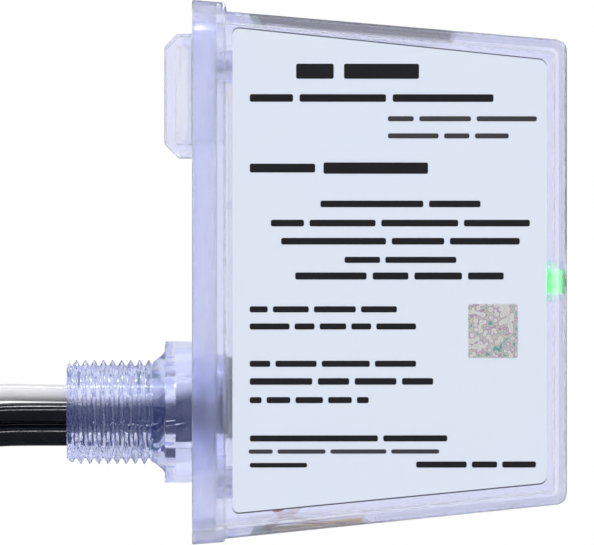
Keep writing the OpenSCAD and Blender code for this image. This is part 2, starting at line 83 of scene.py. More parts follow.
# The lamp's axis, and the middle of the glow painted on the front wall, in millimetres.
LAMP_Z = 26.2
GLOW_X = 77.9
Colour = tuple[float, float, float]
Point = tuple[float, float, float]
WHITE: Colour = (1.0, 1.0, 1.0)
BLACK: Colour = (0.0, 0.0, 0.0)
log = logging.getLogger("surge_protector")


def metres(point: Sequence[float]) -> Vector:
    """Turns a point in millimetres into one in metres."""
    return Vector(point) * MM


def box_mm(node: str) -> tuple[Vector, Vector]:
    """Returns the lowest and the highest corner of a CAD node, in millimetres."""
    low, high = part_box(node)
    return low / MM, high / MM


# ---------------------------------------------------------------------------------------------------------------
# Shader graph
# ---------------------------------------------------------------------------------------------------------------


class Channel:
    """A number on a node's output, so that shader maths reads as plain sums."""

    def __init__(self, graph: "Graph", socket: bpy.types.NodeSocket) -> None:
        """Wraps the socket of a graph's node."""
        self.graph = graph
        self.socket = socket

    def apply(self, operation: str, *others: "Channel | float") -> "Channel":
        """Adds a Math node.

        Args:
            operation: The Math node's operation.
            others: What follows this number in the node's inputs.

        Returns:
            The node's result.
        """
        return self.graph.sum_of(operation, self, *others)

    def __add__(self, other: "Channel | float") -> "Channel":
        """Adds."""
        return self.apply("ADD", other)

    __radd__ = __add__

    def __sub__(self, other: "Channel | float") -> "Channel":
        """Takes away."""
        return self.apply("SUBTRACT", other)

    def __rsub__(self, other: float) -> "Channel":
        """Is taken away from a plain number."""
        return self.graph.sum_of("SUBTRACT", other, self)

    def __mul__(self, other: "Channel | float") -> "Channel":
        """Multiplies."""
        return self.apply("MULTIPLY", other)

    __rmul__ = __mul__

    def __pow__(self, other: float) -> "Channel":
        """Raises to a power."""
        return self.apply("POWER", other)

    def clamp(self) -> "Channel":
        """Keeps the number between 0 and 1."""
        return self.apply("MAXIMUM", 0.0).apply("MINIMUM", 1.0)


class Graph:
    """The nodes of one material, or of the surround."""

    def __init__(self, name: str, world: bool = False) -> None:
        """Starts an empty material of that name, or an empty world."""
        self.material = (bpy.data.worlds if world else bpy.data.materials).new(name)
        self.material.use_nodes = True
        self.tree = self.material.node_tree
        self.tree.nodes.clear()
        self.place = self.node("ShaderNodeTexCoord").outputs["Generated" if world else "Object"]

    def node(self, kind: str, settings: dict | None = None, inputs: dict | None = None) -> bpy.types.Node:
        """Adds a node, sets it and then fills its sockets.

        Args:
            kind: The node's type.
            settings: The node's own properties; "stops" holds a ramp's positions and colours.
            inputs: Socket name or number to a value, a socket or a Channel.

        Returns:
            The node.
        """
        made = self.tree.nodes.new(kind)
        for key, value in (settings or {}).items():
            if key == "stops":
                self._set_stops(made.color_ramp, value)
            else:
                setattr(made, key, value)
        for key, value in (inputs or {}).items():
            source = value.socket if isinstance(value, Channel) else value
            if isinstance(source, bpy.types.NodeSocket):
                self.tree.links.new(source, made.inputs[key])
            else:
                made.inputs[key].default_value = source
        return made

    @staticmethod
    def _set_stops(ramp: bpy.types.ColorRamp, stops: Sequence[tuple[float, Colour]]) -> None:
        """Gives a colour ramp its stops."""
        while len(ramp.elements) < len(stops):
            ramp.elements.new(1.0)
        for element, (position, colour) in zip(ramp.elements, stops):
            element.position = position
            element.color = (*colour, 1.0)

    def sum_of(self, operation: str, *values: "Channel | float") -> Channel:
        """Adds a Math node on these values and returns its result."""
        made = self.node("ShaderNodeMath", {"operation": operation}, dict(enumerate(values)))
        return Channel(self, made.outputs[0])

    def stretched(self, scale: Point = (1.0, 1.0, 1.0)) -> bpy.types.NodeSocket:
        """Returns object coordinates, scaled."""
        made = self.node("ShaderNodeMapping", None, {"Vector": self.place, "Scale": scale})
        return made.outputs["Vector"]

    def noise(self, scale: float, detail: float = 3.0, stretch: Point = (1.0, 1.0, 1.0)) -> Channel:
        """Returns cloudy noise from 0 to 1 at that many cells a metre."""
        made = self.node("ShaderNodeTexNoise", None,
                         {"Vector": self.stretched(stretch), "Scale": scale, "Detail": detail})
        return Channel(self, made.outputs[0])

    def axis(self, letter: str) -> Channel:
        """Returns one object coordinate, in metres."""
        made = self.node("ShaderNodeSeparateXYZ", None, {0: self.place})
        return Channel(self, made.outputs[letter])

    def mix(self, low: "Colour | bpy.types.NodeSocket", high: Colour, factor: Channel) -> bpy.types.NodeSocket:
        """Mixes a colour or a colour socket with another colour and returns the result's socket."""
        start = low if isinstance(low, bpy.types.NodeSocket) else (*low, 1.0)
        made = self.node("ShaderNodeMix", {"data_type": "RGBA"}, {0: factor, 6: start, 7: (*high, 1.0)})
        return made.outputs[2]

    def bump(self, height: Channel, distance: float) -> bpy.types.NodeSocket:
        """Returns a normal that follows a height, with the distance in metres."""
        made = self.node("ShaderNodeBump", None, {"Height": height, "Distance": distance, "Strength": 1.0})
        return made.outputs["Normal"]

    def surface(self, **sockets: object) -> bpy.types.Node:
        """Adds a Principled shader, its sockets named with underscores for spaces."""
        return self.node("ShaderNodeBsdfPrincipled", None,
                         {key.replace("_", " "): value for key, value in sockets.items()})

    def finish(self, shader: bpy.types.Node) -> bpy.types.Material:
        """Connects a shader to the output and returns the material."""
        self.node("ShaderNodeOutputMaterial", None, {"Surface": shader.outputs[0]})
        return self.material


# ---------------------------------------------------------------------------------------------------------------
# Finishes
# ---------------------------------------------------------------------------------------------------------------


@dataclass(frozen=True)
class ClearPlastic:
    """A polished clear moulding with a faint tint.

    Attributes:
        name: The material's name.
        tint: What a wall passes of white light.
        roughness: How far the polish falls short of a mirror.
        ripple: Depth of the moulding's faint waviness, in metres.
        through: Share of the light that passes unbent.
        lit: Strength of the glow painted in the wall round the lamp, or 0 for a piece that the lamp isn't behind.
        haze: Colour of a faint glow painted on the plastic all over, as emission.
    """

    REFRACTIVE_INDEX = 1.585
    GLOW_REACH = 0.005
    GLOW_STOPS = ((0.0, BLACK), (0.35, (0.0, 0.10, 0.0)), (0.6, (0.0, 0.6, 0.01)), (0.8, (0.3, 1.0, 0.3)),
                  (0.95, (0.95, 1.0, 0.95)))
    GLOW_TINT = (0.05, 0.8, 0.08)

    name: str
    tint: Colour
    roughness: float = 0.0
    ripple: float = 0.000004
    through: float = 0.3
    lit: float = 0.0
    haze: Colour = BLACK

    def colours(self, graph: Graph) -> dict[str, object]:
        """Returns the colour and light sockets, with a green glow painted near the lamp in a piece that it is behind.
        """
        if not self.lit:
            # The haze is a painted glow: light given off evenly over the piece.
            return {"Base_Color": (*self.tint, 1.0), "Emission_Color": (*self.haze, 1.0), "Emission_Strength": 1.0}
        # Painted glow: near the lamp the wall's colour turns green and it gives off green light, standing in for the
        # lamp's light carried in the plastic.
        along, across, up = graph.axis("X") - GLOW_X * MM, graph.axis("Y"), graph.axis("Z") - LAMP_Z * MM
        distance = (along * along + across * across + up * up) ** 0.5
        near_lamp = (1.0 - distance * (1.0 / self.GLOW_REACH)).clamp()
        glow = graph.node("ShaderNodeValToRGB", {"stops": self.GLOW_STOPS}, {0: near_lamp})
        return {"Base_Color": graph.mix(self.tint, self.GLOW_TINT, (near_lamp * 2.0).clamp()),
                "Emission_Color": glow.outputs["Color"], "Emission_Strength": self.lit}

    def material(self) -> bpy.types.Material:
        """Builds the material. Shadow rays, and rays that its faces have thrown back twice, pass straight through."""
        graph = Graph(self.name)
        flow = graph.noise(90.0, 2.0, (1.0, 1.0, 0.35))
        fine = graph.noise(900.0, 4.0)
        handled = graph.noise(35.0, 3.0)
        roughness = (handled ** 3.0) * 0.05 + self.roughness
        height = flow * 0.8 + fine * 0.05
        glass = graph.surface(**self.colours(graph), Roughness=roughness, IOR=self.REFRACTIVE_INDEX,
                              Transmission_Weight=1.0, Normal=graph.bump(height, self.ripple))
        passing = graph.node("ShaderNodeBsdfTransparent", None, {"Color": (*self.tint, 1.0)})
        path = graph.node("ShaderNodeLightPath").outputs
        trapped = (Channel(graph, path["Glossy Depth"]) - 1.0).clamp()
        straight = (Channel(graph, path["Is Shadow Ray"]) + trapped + self.through).clamp()
        both = graph.node("ShaderNodeMixShader", None, {0: straight, 1: glass.outputs[0], 2: passing.outputs[0]})
        return graph.finish(both)


@dataclass(frozen=True)
class Moulding:
    """An opaque moulded or coated part.

    Attributes:
        name: The material's name.
        colour: The part's main colour.
        roughness: The middle of the surface's roughness.
        grain: Cells of texture a metre.
        depth: Depth of the texture, in metres.
        shift: How far the colour strays, as a share.
        coat: Weight of the clear coat over it.
    """

    name: str
    colour: Colour
    roughness: float = 0.45
    grain: float = 1800.0
    depth: float = 0.00003
    shift: float = 0.12
    coat: float = 0.0

    def material(self) -> bpy.types.Material:
        """Builds the material."""
        graph = Graph(self.name)
        cloud = graph.noise(120.0, 4.0)
        grain = graph.noise(self.grain, 3.0)
        darker = tuple(part * (1.0 - self.shift) for part in self.colour)
        lighter = tuple(min(1.0, part * (1.0 + self.shift)) for part in self.colour)
        colour = graph.mix(darker, lighter, cloud)
        roughness = (grain - 0.5) * 0.15 + (cloud - 0.5) * 0.12 + self.roughness
        return graph.finish(graph.surface(Base_Color=colour, Roughness=roughness, Coat_Weight=self.coat,
                                          Coat_Roughness=0.12, Normal=graph.bump(grain, self.depth)))


@dataclass(frozen=True)
class Metal:
    """A plain or plated metal.

    Attributes:
        name: The material's name.
        colour: The metal's colour.
        roughness: The middle of its roughness.
        brush: Stretch of the drawn lines along X, Y and Z.
        tarnish: How far the duller patches darken.
    """

    name: str
    colour: Colour
    roughness: float = 0.28
    brush: Point = (1.0, 1.0, 1.0)
    tarnish: float = 0.25

    def material(self) -> bpy.types.Material:
        """Builds the material."""
        graph = Graph(self.name)
        lines = graph.noise(2500.0, 2.0, self.brush)
        patch = graph.noise(260.0, 4.0)
        dull = tuple(part * (1.0 - self.tarnish) for part in self.colour)
        colour = graph.mix(self.colour, dull, (patch * 2.0 - 0.7).clamp())
        roughness = (lines - 0.5) * 0.25 + (patch - 0.5) * 0.2 + self.roughness
        return graph.finish(graph.surface(Base_Color=colour, Metallic=1.0, Roughness=roughness,
                                          Normal=graph.bump(lines, 0.00001)))


@dataclass(frozen=True)
class Jacket:
    """The glossy nylon jacket of a building wire.

    Attributes:
        name: The material's name.
        colour: The insulation's colour.
        haze: Colour of the faint dusting on the gloss.
        roughness: The gloss's roughness.
    """

    name: str
    colour: Colour
    haze: Colour
    roughness: float = 0.16

    def material(self) -> bpy.types.Material:
        """Builds the material."""
        graph = Graph(self.name)
        wave = graph.noise(160.0, 3.0)
        scuff = graph.noise(1400.0, 4.0, (0.25, 1.0, 0.25))
        worn = ((scuff - 0.52) * 5.0).clamp() * 0.35
        roughness = worn * 0.5 + (wave - 0.5) * 0.12 + self.roughness
        return graph.finish(graph.surface(Base_Color=graph.mix(self.colour, self.haze, worn), Roughness=roughness,
                                          Coat_Weight=0.25, Coat_Roughness=0.06,
                                          Normal=graph.bump(wave * 0.7 + scuff * 0.3, 0.00006)))


@dataclass(frozen=True)
class PrintedFilm:
    """The pale film of the side label, a little uneven where it is stuck down."""

    name: str = "label_film"
    colour: Colour = (0.745, 0.815, 0.945)
    warmer: Colour = (0.775, 0.83, 0.935)

    def material(self) -> bpy.types.Material:
        """Builds the material."""
        graph = Graph(self.name)
        cloud = graph.noise(28.0, 3.0)
        pore = graph.noise(5200.0, 2.0)
        roughness = (pore - 0.5) * 0.1 + 0.42
        return graph.finish(graph.surface(Base_Color=graph.mix(self.colour, self.warmer, cloud), Roughness=roughness,
                                          Normal=graph.bump(cloud * 0.9 + pore * 0.1, 0.00005)))


@dataclass(frozen=True)
class Foil:
    """A patterned diffraction foil with no marks: shifting pastel cells over silver."""

    name: str = "foil"
    cells: float = 950.0

    def material(self) -> bpy.types.Material:
        """Builds the material."""
        graph = Graph(self.name)
        rosette = graph.node("ShaderNodeTexVoronoi", {"feature": "F1"},
                             {"Vector": graph.stretched(), "Scale": self.cells})
        drift = graph.noise(260.0, 3.0)
        hue = Channel(graph, rosette.outputs["Distance"]) * 0.9 + drift * 0.9 - 0.25
        pastel = graph.node("ShaderNodeValToRGB", {"stops": [
            (0.0, (0.16, 0.30, 0.32)), (0.18, (0.72, 0.80, 0.80)), (0.42, (0.86, 0.82, 0.74)),
            (0.58, (0.84, 0.88, 0.90)), (0.7, (0.50, 0.32, 0.50)), (0.8, (0.80, 0.78, 0.66)),
            (1.0, (0.20, 0.46, 0.48))]}, {0: hue})
        lines = graph.node("ShaderNodeTexWave", {"bands_direction": "DIAGONAL"},
                           {"Vector": graph.stretched(), "Scale": 700.0, "Distortion": 2.5})
        height = Channel(graph, lines.outputs["Fac"])
        roughness = Channel(graph, rosette.outputs["Distance"]) * 0.25 + 0.2
        return graph.finish(graph.surface(Base_Color=pastel.outputs["Color"], Metallic=0.3, Roughness=roughness,
                                          Normal=graph.bump(height, 0.00003)))


@dataclass(frozen=True)
class LampLens:
    """A lit green lens, brightest at its tip."""

    name: str = "lamp_lens"
    tip_x: float = 0.0774
    glow: float = 7.0

    def material(self) -> bpy.types.Material:
        """Builds the material."""
        graph = Graph(self.name)
        towards_tip = ((graph.axis("X") - (self.tip_x - 0.0045)) * 220.0).clamp()
        cloud = graph.noise(700.0, 2.0)
        colour = graph.mix((0.02, 0.55, 0.08), (0.35, 1.0, 0.45), towards_tip * 0.7 + cloud * 0.3)
        emission = graph.mix((0.0, 0.05, 0.002), (0.02, 1.0, 0.04), towards_tip ** 1.5)
        return graph.finish(graph.surface(Base_Color=colour, Roughness=cloud * 0.1 + 0.12, Emission_Color=emission,
                                          Emission_Strength=self.glow, Normal=graph.bump(cloud, 0.00001)))


@dataclass(frozen=True)
class Lacquer:
    """Green solder lacquer over a glass-fibre board, with the weave just showing."""

    name: str = "board_lacquer"

    def material(self) -> bpy.types.Material:
        """Builds the material."""
        graph = Graph(self.name)
        weave = [graph.node("ShaderNodeTexWave", {"bands_direction": direction},
                            {"Vector": graph.stretched(), "Scale": 320.0}).outputs["Fac"] for direction in ("Y", "Z")]
        cross = Channel(graph, weave[0]) * Channel(graph, weave[1])
        cloud = graph.noise(200.0, 3.0)
        colour = graph.mix((0.012, 0.12, 0.045), (0.03, 0.21, 0.085), cross * 0.5 + cloud * 0.4)
        return graph.finish(graph.surface(Base_Color=colour, Roughness=cloud * 0.12 + 0.24, Coat_Weight=0.4,
                                          Normal=graph.bump(cross, 0.00001)))


class Finish(Enum):
    """Every finish of the object: the maker of its material and the record's slot that it stands for."""

    # The cover carries the green glow painted round the lamp.
    COVER = (ClearPlastic("clear_cover", (0.90, 0.91, 0.995), lit=0.8), "clear_cover")
    BASE = (ClearPlastic("clear_base", (0.95, 0.955, 1.0), 0.02, 0.000008), "clear_base")
    # The nipple's haze is a faint blue painted glow.
    NIPPLE = (ClearPlastic("clear_nipple", (0.92, 0.935, 1.0), 0.0, 0.000006, 0.14, haze=(0.001, 0.005, 0.045)),
              "clear_nipple")
    SEAL = (ClearPlastic("bonding_bead", (0.93, 0.935, 1.0), 0.25, 0.00003), "seal")
    FILM = (PrintedFilm(), "label_film")
    INK = (Moulding("print_ink", (0.012, 0.013, 0.018), 0.42, 4000.0, 0.000004, 0.2), "label_film")
    PALE_INK = (Moulding("pale_ink", (0.05, 0.052, 0.062), 0.42, 4000.0, 0.000004, 0.2), "label_film")
    # Painted shade: a dark finish for the border behind the label's top and bottom edges.
    EDGE_SHADE = (Moulding("film_edge_shade", (0.10, 0.11, 0.15), 0.5, 3000.0, 0.00001, 0.2), "label_film")
    FOIL = (Foil(), "foil")
    LAMP = (LampLens(), "led_lens")
    BOARD = (Lacquer(), "board")
    TRACK = (Moulding("lacquered_track", (0.04, 0.27, 0.10), 0.25, 2500.0, 0.00001, 0.15, 0.4), "board")
    SOLDER = (Metal("solder_tin", (0.72, 0.73, 0.75), 0.24), "solder")
    STEEL = (Metal("zinc_plate", (0.72, 0.73, 0.76), 0.3, (1.0, 6.0, 6.0)), "screw_steel")
    CLAMP = (Metal("nickel_plate", (0.74, 0.70, 0.60), 0.26), "clamp_brass")
    BRASS = (Metal("contact_brass", (0.82, 0.60, 0.28), 0.25, (6.0, 1.0, 1.0)), "contact_brass")
    SPRING = (Metal("music_wire", (0.62, 0.63, 0.66), 0.22), "spring_steel")
    COPPER = (Metal("bare_copper", (0.86, 0.42, 0.24), 0.24, (1.0, 1.0, 0.2), 0.35), "copper")
    BLOCK = (Moulding("terminal_plastic", (0.045, 0.055, 0.065), 0.5), "block_plastic")
    CAPACITOR = (Moulding("capacitor_box", (0.78, 0.55, 0.10), 0.35, 1500.0, 0.00002, 0.08, 0.2), "capacitor_case")
    RESISTOR = (Moulding("resistor_lacquer", (0.62, 0.47, 0.30), 0.4), "resistor_body")
    DIODE = (Moulding("diode_epoxy", (0.02, 0.02, 0.022), 0.45), "diode_body")
    BAND = (Moulding("band_paint", (0.35, 0.03, 0.02), 0.35), "resistor_body")
    SLEEVE = (Moulding("shrunk_sleeve", (0.02, 0.02, 0.022), 0.55), "sleeve")
    CASE = (Moulding("case_plastic", (0.03, 0.03, 0.034), 0.5, 1200.0, 0.00004), "module_case")
    LID = (Moulding("lid_plastic", (0.075, 0.078, 0.09), 0.48, 1200.0, 0.00004), "module_lid")
    VARISTOR = (Moulding("varistor_epoxy", (0.03, 0.11, 0.36), 0.3, 700.0, 0.00006, 0.2, 0.3), "varistor_coat")
    SHIELD = (Moulding("shield_plastic", (0.85, 0.22, 0.02), 0.42), "shield_plastic")
    TIE = (Moulding("tie_nylon", (0.80, 0.80, 0.76), 0.38, 900.0, 0.00002, 0.04), "tie_nylon")
    WHITE_JACKET = (Jacket("white_jacket", (0.90, 0.885, 0.90), (0.95, 0.95, 0.95), 0.3), "lead_white")
    BLACK_JACKET = (Jacket("black_jacket", (0.002, 0.004, 0.008), (0.007, 0.010, 0.017)), "lead_black")
    RED_WIRE = (Jacket("red_wire", (0.50, 0.008, 0.02), (0.6, 0.1, 0.1)), "wire_red")
    BLACK_WIRE = (Jacket("black_wire", (0.008, 0.008, 0.01), (0.05, 0.05, 0.05)), "wire_black")

    @property
    def slot(self) -> str:
        """The record's material slot."""
        return self.value[1]

    def material(self) -> bpy.types.Material:
        """Returns the finish's material, built the first time it is asked for."""
        name = "finish_" + self.value[0].name
        made = bpy.data.materials.get(name) or self.value[0].material()
        made.name = name
        return made


# ---------------------------------------------------------------------------------------------------------------
# Hand tools
# ---------------------------------------------------------------------------------------------------------------


class Axis(Enum):
    """A direction of a round solid: the turn that lays a disc across it, and where a station lies in space."""

    X = ((0.0, math.pi / 2, 0.0), lambda at, y, z: (at, y, z))
    Z = ((0.0, 0.0, 0.0), lambda at, x, y: (x, y, at))


class Bench:
    """The modelling tools that every sub-assembly uses. Sizes and places are in millimetres."""

    SMOOTH_ANGLE = math.radians(32.0)

    @staticmethod
    def alone(piece: bpy.types.Object) -> bpy.types.Object:
        """Makes a piece the only selected and the active one, and returns it."""
        bpy.ops.object.select_all(action="DESELECT")
        piece.select_set(True)
        bpy.context.view_layer.objects.active = piece
        return piece

    @classmethod
    def start(cls, name: str, primitive: Callable[..., object], **settings: object) -> bpy.types.Object:
        """Adds a primitive as the only selected object.

        Args:
            name: The new object's name.
            primitive: The operator that adds it.
            settings: The operator's settings.

        Returns:
            The object.
        """
        bpy.ops.object.select_all(action="DESELECT")
        primitive(**settings)
        made = bpy.context.active_object
        made.name = name
        return made

    @classmethod
    def settle(cls, piece: bpy.types.Object) -> bpy.types.Object:
        """Puts a piece's place, turn and scale into its mesh, and returns it."""
        cls.alone(piece)
        bpy.ops.object.transform_apply(location=True, rotation=True, scale=True)
        return piece

    @classmethod
    @contextmanager
    def editing(cls, piece: bpy.types.Object) -> Iterator[None]:
        """Opens a piece in edit mode with all of its mesh selected, and leaves edit mode at the end."""
        cls.alone(piece)
        bpy.ops.object.mode_set(mode="EDIT")
        bpy.ops.mesh.select_all(action="SELECT")
        yield
        bpy.ops.object.mode_set(mode="OBJECT")

    @classmethod
    def outward(cls, piece: bpy.types.Object) -> bpy.types.Object:
        """Merges doubled points and turns every face outwards."""
        with cls.editing(piece):
            bpy.ops.mesh.remove_doubles(threshold=1e-6)
            bpy.ops.mesh.normals_make_consistent(inside=False)
        return piece

    @classmethod
    def modifier(cls, piece: bpy.types.Object, kind: str, **settings: object) -> bpy.types.Object:
        """Adds a modifier with these settings, applies it, and returns the piece."""
        cls.alone(piece)
        made = piece.modifiers.new(kind.title(), kind)
        for key, value in settings.items():
            setattr(made, key, value)
        bpy.ops.object.modifier_apply(modifier=made.name)
        return piece

    @classmethod
    def block(cls, name: str, low: Sequence[float], high: Sequence[float], edge: float = 0.0,
              rounds: int = 3) -> bpy.types.Object:
        """Adds a box between two corners, with its edges rounded.

        Args:
            name: The new object's name.
            low: The lowest corner, in millimetres.
            high: The highest corner, in millimetres.
            edge: Radius of the rounding in millimetres, or 0 for sharp edges.
            rounds: How many faces a rounding has.

        Returns:
            The block.
        """
        low, high = metres(low), metres(high)
        made = cls.start(name, bpy.ops.mesh.primitive_cube_add, size=1.0, location=(low + high) / 2)
        made.scale = high - low
        cls.settle(made)
        if edge > 0:
            cls.modifier(made, "BEVEL", width=edge * MM, segments=rounds, limit_method="NONE")
        return made

    @classmethod
    def turned(cls, name: str, stations: Sequence[tuple[float, float]], y: float = 0.0, z: float = 0.0,
               sides: int = 64, along: Axis = Axis.X) -> bpy.types.Object:
        """Draws a round solid out of one disc, station by station, with its axis along X unless told otherwise.

        Args:
            name: The new object's name.
            stations: Distances along the axis and the radius at each, in millimetres.
            y: Where the axis passes, on Y, or on X for a solid along Z.
            z: Where the axis passes, on Z, or on Y for a solid along Z.
            sides: How many faces go round it.
            along: The direction of the axis.

        Returns:
            The solid.
        """
        turn, place = along.value
        spot = metres(place(stations[0][0], y, z))
        made = cls.start(name, bpy.ops.mesh.primitive_circle_add, vertices=sides, radius=stations[0][1] * MM,
                         fill_type="NGON", location=spot, rotation=turn)
        with cls.editing(cls.settle(made)):
            for before, (at, radius) in zip(stations, stations[1:]):
                new = metres(place(at, y, z))
                bpy.ops.mesh.extrude_region_move(TRANSFORM_OT_translate={"value": new - spot})
                ratio = radius / before[1]
                bpy.ops.transform.resize(value=(ratio, ratio, ratio), center_override=new)
                spot = new
        return cls.outward(made)

    @classmethod
    def combine(cls, piece: bpy.types.Object, tool: bpy.types.Object, how: str) -> bpy.types.Object:
        """Unites a piece with a tool or cuts it away, and removes the tool.

        Args:
            piece: The object that stays.
            tool: The object that is used up.
            how: UNION, DIFFERENCE or INTERSECT.

        Returns:
            The piece.
        """
        cls.modifier(piece, "BOOLEAN", object=tool, operation=how, solver="EXACT")
        bpy.data.objects.remove(tool)
        return piece

    @classmethod
    def join(cls, name: str, pieces: Sequence[bpy.types.Object]) -> bpy.types.Object:
        """Joins separate solids into one piece of that name."""
        cls.alone(pieces[0])
        for piece in pieces:
            piece.select_set(True)
        bpy.ops.object.join()
        pieces[0].name = name
        return pieces[0]

    @classmethod
    def duplicate(cls, piece: bpy.types.Object, name: str, place: Matrix) -> bpy.types.Object:
        """Copies a piece with its own mesh, and puts the copy's place in its mesh."""
        copy = piece.copy()
        copy.data = piece.data.copy()
        copy.name = name
        bpy.context.scene.collection.objects.link(copy)
        copy.data.transform(place)
        return copy

    @classmethod
    def softened(cls, node: str, edge: float) -> bpy.types.Object:
        """Copies a CAD node, merges its triangles into faces and rounds its edges.

        Args:
            node: The CAD node's name.
            edge: Radius of the rounding, in millimetres.

        Returns:
            The copy; the node stays shown until the copy is dressed.
        """
        copy = cls.duplicate(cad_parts[node], node + "_shape", Matrix.Identity(4))
        copy.parent = None
        for key in [key for key in copy.keys() if key.startswith("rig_")]:
            del copy[key]
        with cls.editing(copy):
            bpy.ops.mesh.remove_doubles(threshold=1e-7)
            bpy.ops.mesh.dissolve_limited(angle_limit=math.radians(1.0))
        if edge > 0:
            cls.modifier(copy, "BEVEL", width=edge * MM, segments=2, limit_method="ANGLE",
                         angle_limit=math.radians(40), use_clamp_overlap=True)
        return copy

    @classmethod
    def shrunk(cls, piece: bpy.types.Object, by: float) -> bpy.types.Object:
        """Draws every face of a piece in by that many millimetres, so that clear walls don't coincide."""
        with cls.editing(piece):
            bpy.ops.transform.shrink_fatten(value=-by * MM, use_even_offset=True)
        return piece

    @staticmethod
    def smooth_line(points: Sequence[Sequence[float]], per_span: int = 4) -> list[Vector]:
        """Draws a smooth line through points.

        Args:
            points: The points, in millimetres.
            per_span: How many steps there are from one point to the next.

        Returns:
            The points of the smooth line in metres, the given ones among them.
        """
        given = [metres(point) for point in points]
        ends = [given[0] * 2 - given[1], *given, given[-1] * 2 - given[-2]]
        line = []
        for before, a, b, after in zip(ends, ends[1:], ends[2:], ends[3:]):
            for step in range(per_span):
                t = step / per_span
                line.append(0.5 * (2 * a + (b - before) * t + (2 * before - 5 * a + 4 * b - after) * t ** 2
                                   + (3 * a - before - 3 * b + after) * t ** 3))
        return [*line, given[-1]]

    @classmethod
    def wire(cls, name: str, line: Sequence[Vector], diameter: float, sides: int = 4) -> bpy.types.Object:
        """Adds a round wire along a line as a curve with closed ends.

        Args:
            name: The new object's name.
            line: The points of its centreline, in metres.
            diameter: The wire's diameter, in millimetres.
            sides: The curve's bevel resolution.

        Returns:
            The curve object.
        """
        curve = bpy.data.curves.new(name, "CURVE")
        curve.dimensions = "3D"
        curve.bevel_depth = diameter / 2 * MM
        curve.bevel_resolution = sides
        curve.use_fill_caps = True
        spline = curve.splines.new("POLY")
        spline.points.add(len(line) - 1)
        for point, place in zip(spline.points, line):
            point.co = (*place, 1.0)
        spline.use_smooth = True
        made = bpy.data.objects.new(name, curve)
        bpy.context.scene.collection.objects.link(made)
        return made

    @classmethod
    def as_mesh(cls, piece: bpy.types.Object) -> bpy.types.Object:
        """Turns a curve into a mesh and returns it."""
        cls.alone(piece)
        bpy.ops.object.convert(target="MESH")
        return bpy.context.active_object

    @classmethod
    def dress(cls, piece: bpy.types.Object, finish: Finish, stands_for: Iterable[str] = (),
              body: str | None = HOUSING) -> bpy.types.Object:
        """Finishes a piece: its smoothing, its material, its body and the CAD nodes it stands for.

        Args:
            piece: The object.
            finish: Its finish.
            stands_for: The CAD nodes that it replaces.
            body: The CAD body it rides on, or None for a piece that is attached to no body.

        Returns:
            The piece.
        """
        if piece.type == "MESH":
            cls.alone(piece)
            bpy.ops.object.shade_smooth_by_angle(angle=cls.SMOOTH_ANGLE)
        piece.data.materials.clear()
        piece.data.materials.append(finish.material())
        if body:
            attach(piece, body)
        nodes = list(stands_for)
        if nodes:
            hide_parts(*nodes)
        log.info("%s: %s, on %s", piece.name, finish.name.lower(), body or "two bodies")
        return piece

    @classmethod
    def keep_form(cls, node: str, edge: float, finish: Finish, body: str = HOUSING) -> bpy.types.Object:
        """Finishes a softened copy of a CAD node, which stands for that node, and returns it."""
        return cls.dress(cls.softened(node, edge), finish, [node], body)


@dataclass(frozen=True)
class Outline:
    """A rounded rectangle across the box, in millimetres.

    Attributes:
        x: Its distance from the panel's face.
        low: Its lowest point.
        high: Its highest point.
        half: Half its width.
    """

    x: float
    low: float
    high: float
    half: float

    @property
    def middle(self) -> Vector:
        """The middle of the outline, in metres."""
        return metres((self.x, 0.0, (self.low + self.high) / 2))


class Loft:
    """A closed shell that is drawn out of one rounded rectangle, outline by outline."""

    def __init__(self, name: str, first: Outline, corner: float, rounds: int = 6) -> None:
        """Lays the first outline.

        Args:
            name: The new object's name.
            first: The outline that the shell starts from.
            corner: Radius of its corners, in millimetres.
            rounds: How many edges a corner has.
        """
        self.piece = Bench.start(name, bpy.ops.mesh.primitive_plane_add, size=1.0, location=first.middle,
                                 rotation=(0.0, math.pi / 2, 0.0))
        self.piece.scale = ((first.high - first.low) * MM, 2 * first.half * MM, 1.0)
        Bench.settle(self.piece)
        bpy.ops.object.mode_set(mode="EDIT")
        bpy.ops.mesh.select_all(action="SELECT")
        bpy.ops.mesh.bevel(offset=corner * MM, segments=rounds, affect="VERTICES")
        self.at = first

    def to(self, outline: Outline) -> "Loft":
        """Draws the shell on to the next outline and returns the loft."""
        bpy.ops.mesh.extrude_region_move(TRANSFORM_OT_translate={"value": outline.middle - self.at.middle})
        ratio = (1.0, outline.half / self.at.half, (outline.high - outline.low) / (self.at.high - self.at.low))
        bpy.ops.transform.resize(value=ratio, center_override=outline.middle)
        self.at = outline
        return self

    def through(self, outlines: Iterable[Outline]) -> "Loft":
        """Draws the shell through several outlines and returns the loft."""
        for outline in outlines:
            self.to(outline)
        return self

    def close(self) -> bpy.types.Object:
        """Ends the shell with the last outline as its lid and returns the piece."""
        bpy.ops.object.mode_set(mode="OBJECT")
        return Bench.outward(self.piece)


# ---------------------------------------------------------------------------------------------------------------
# Studio
# ---------------------------------------------------------------------------------------------------------------


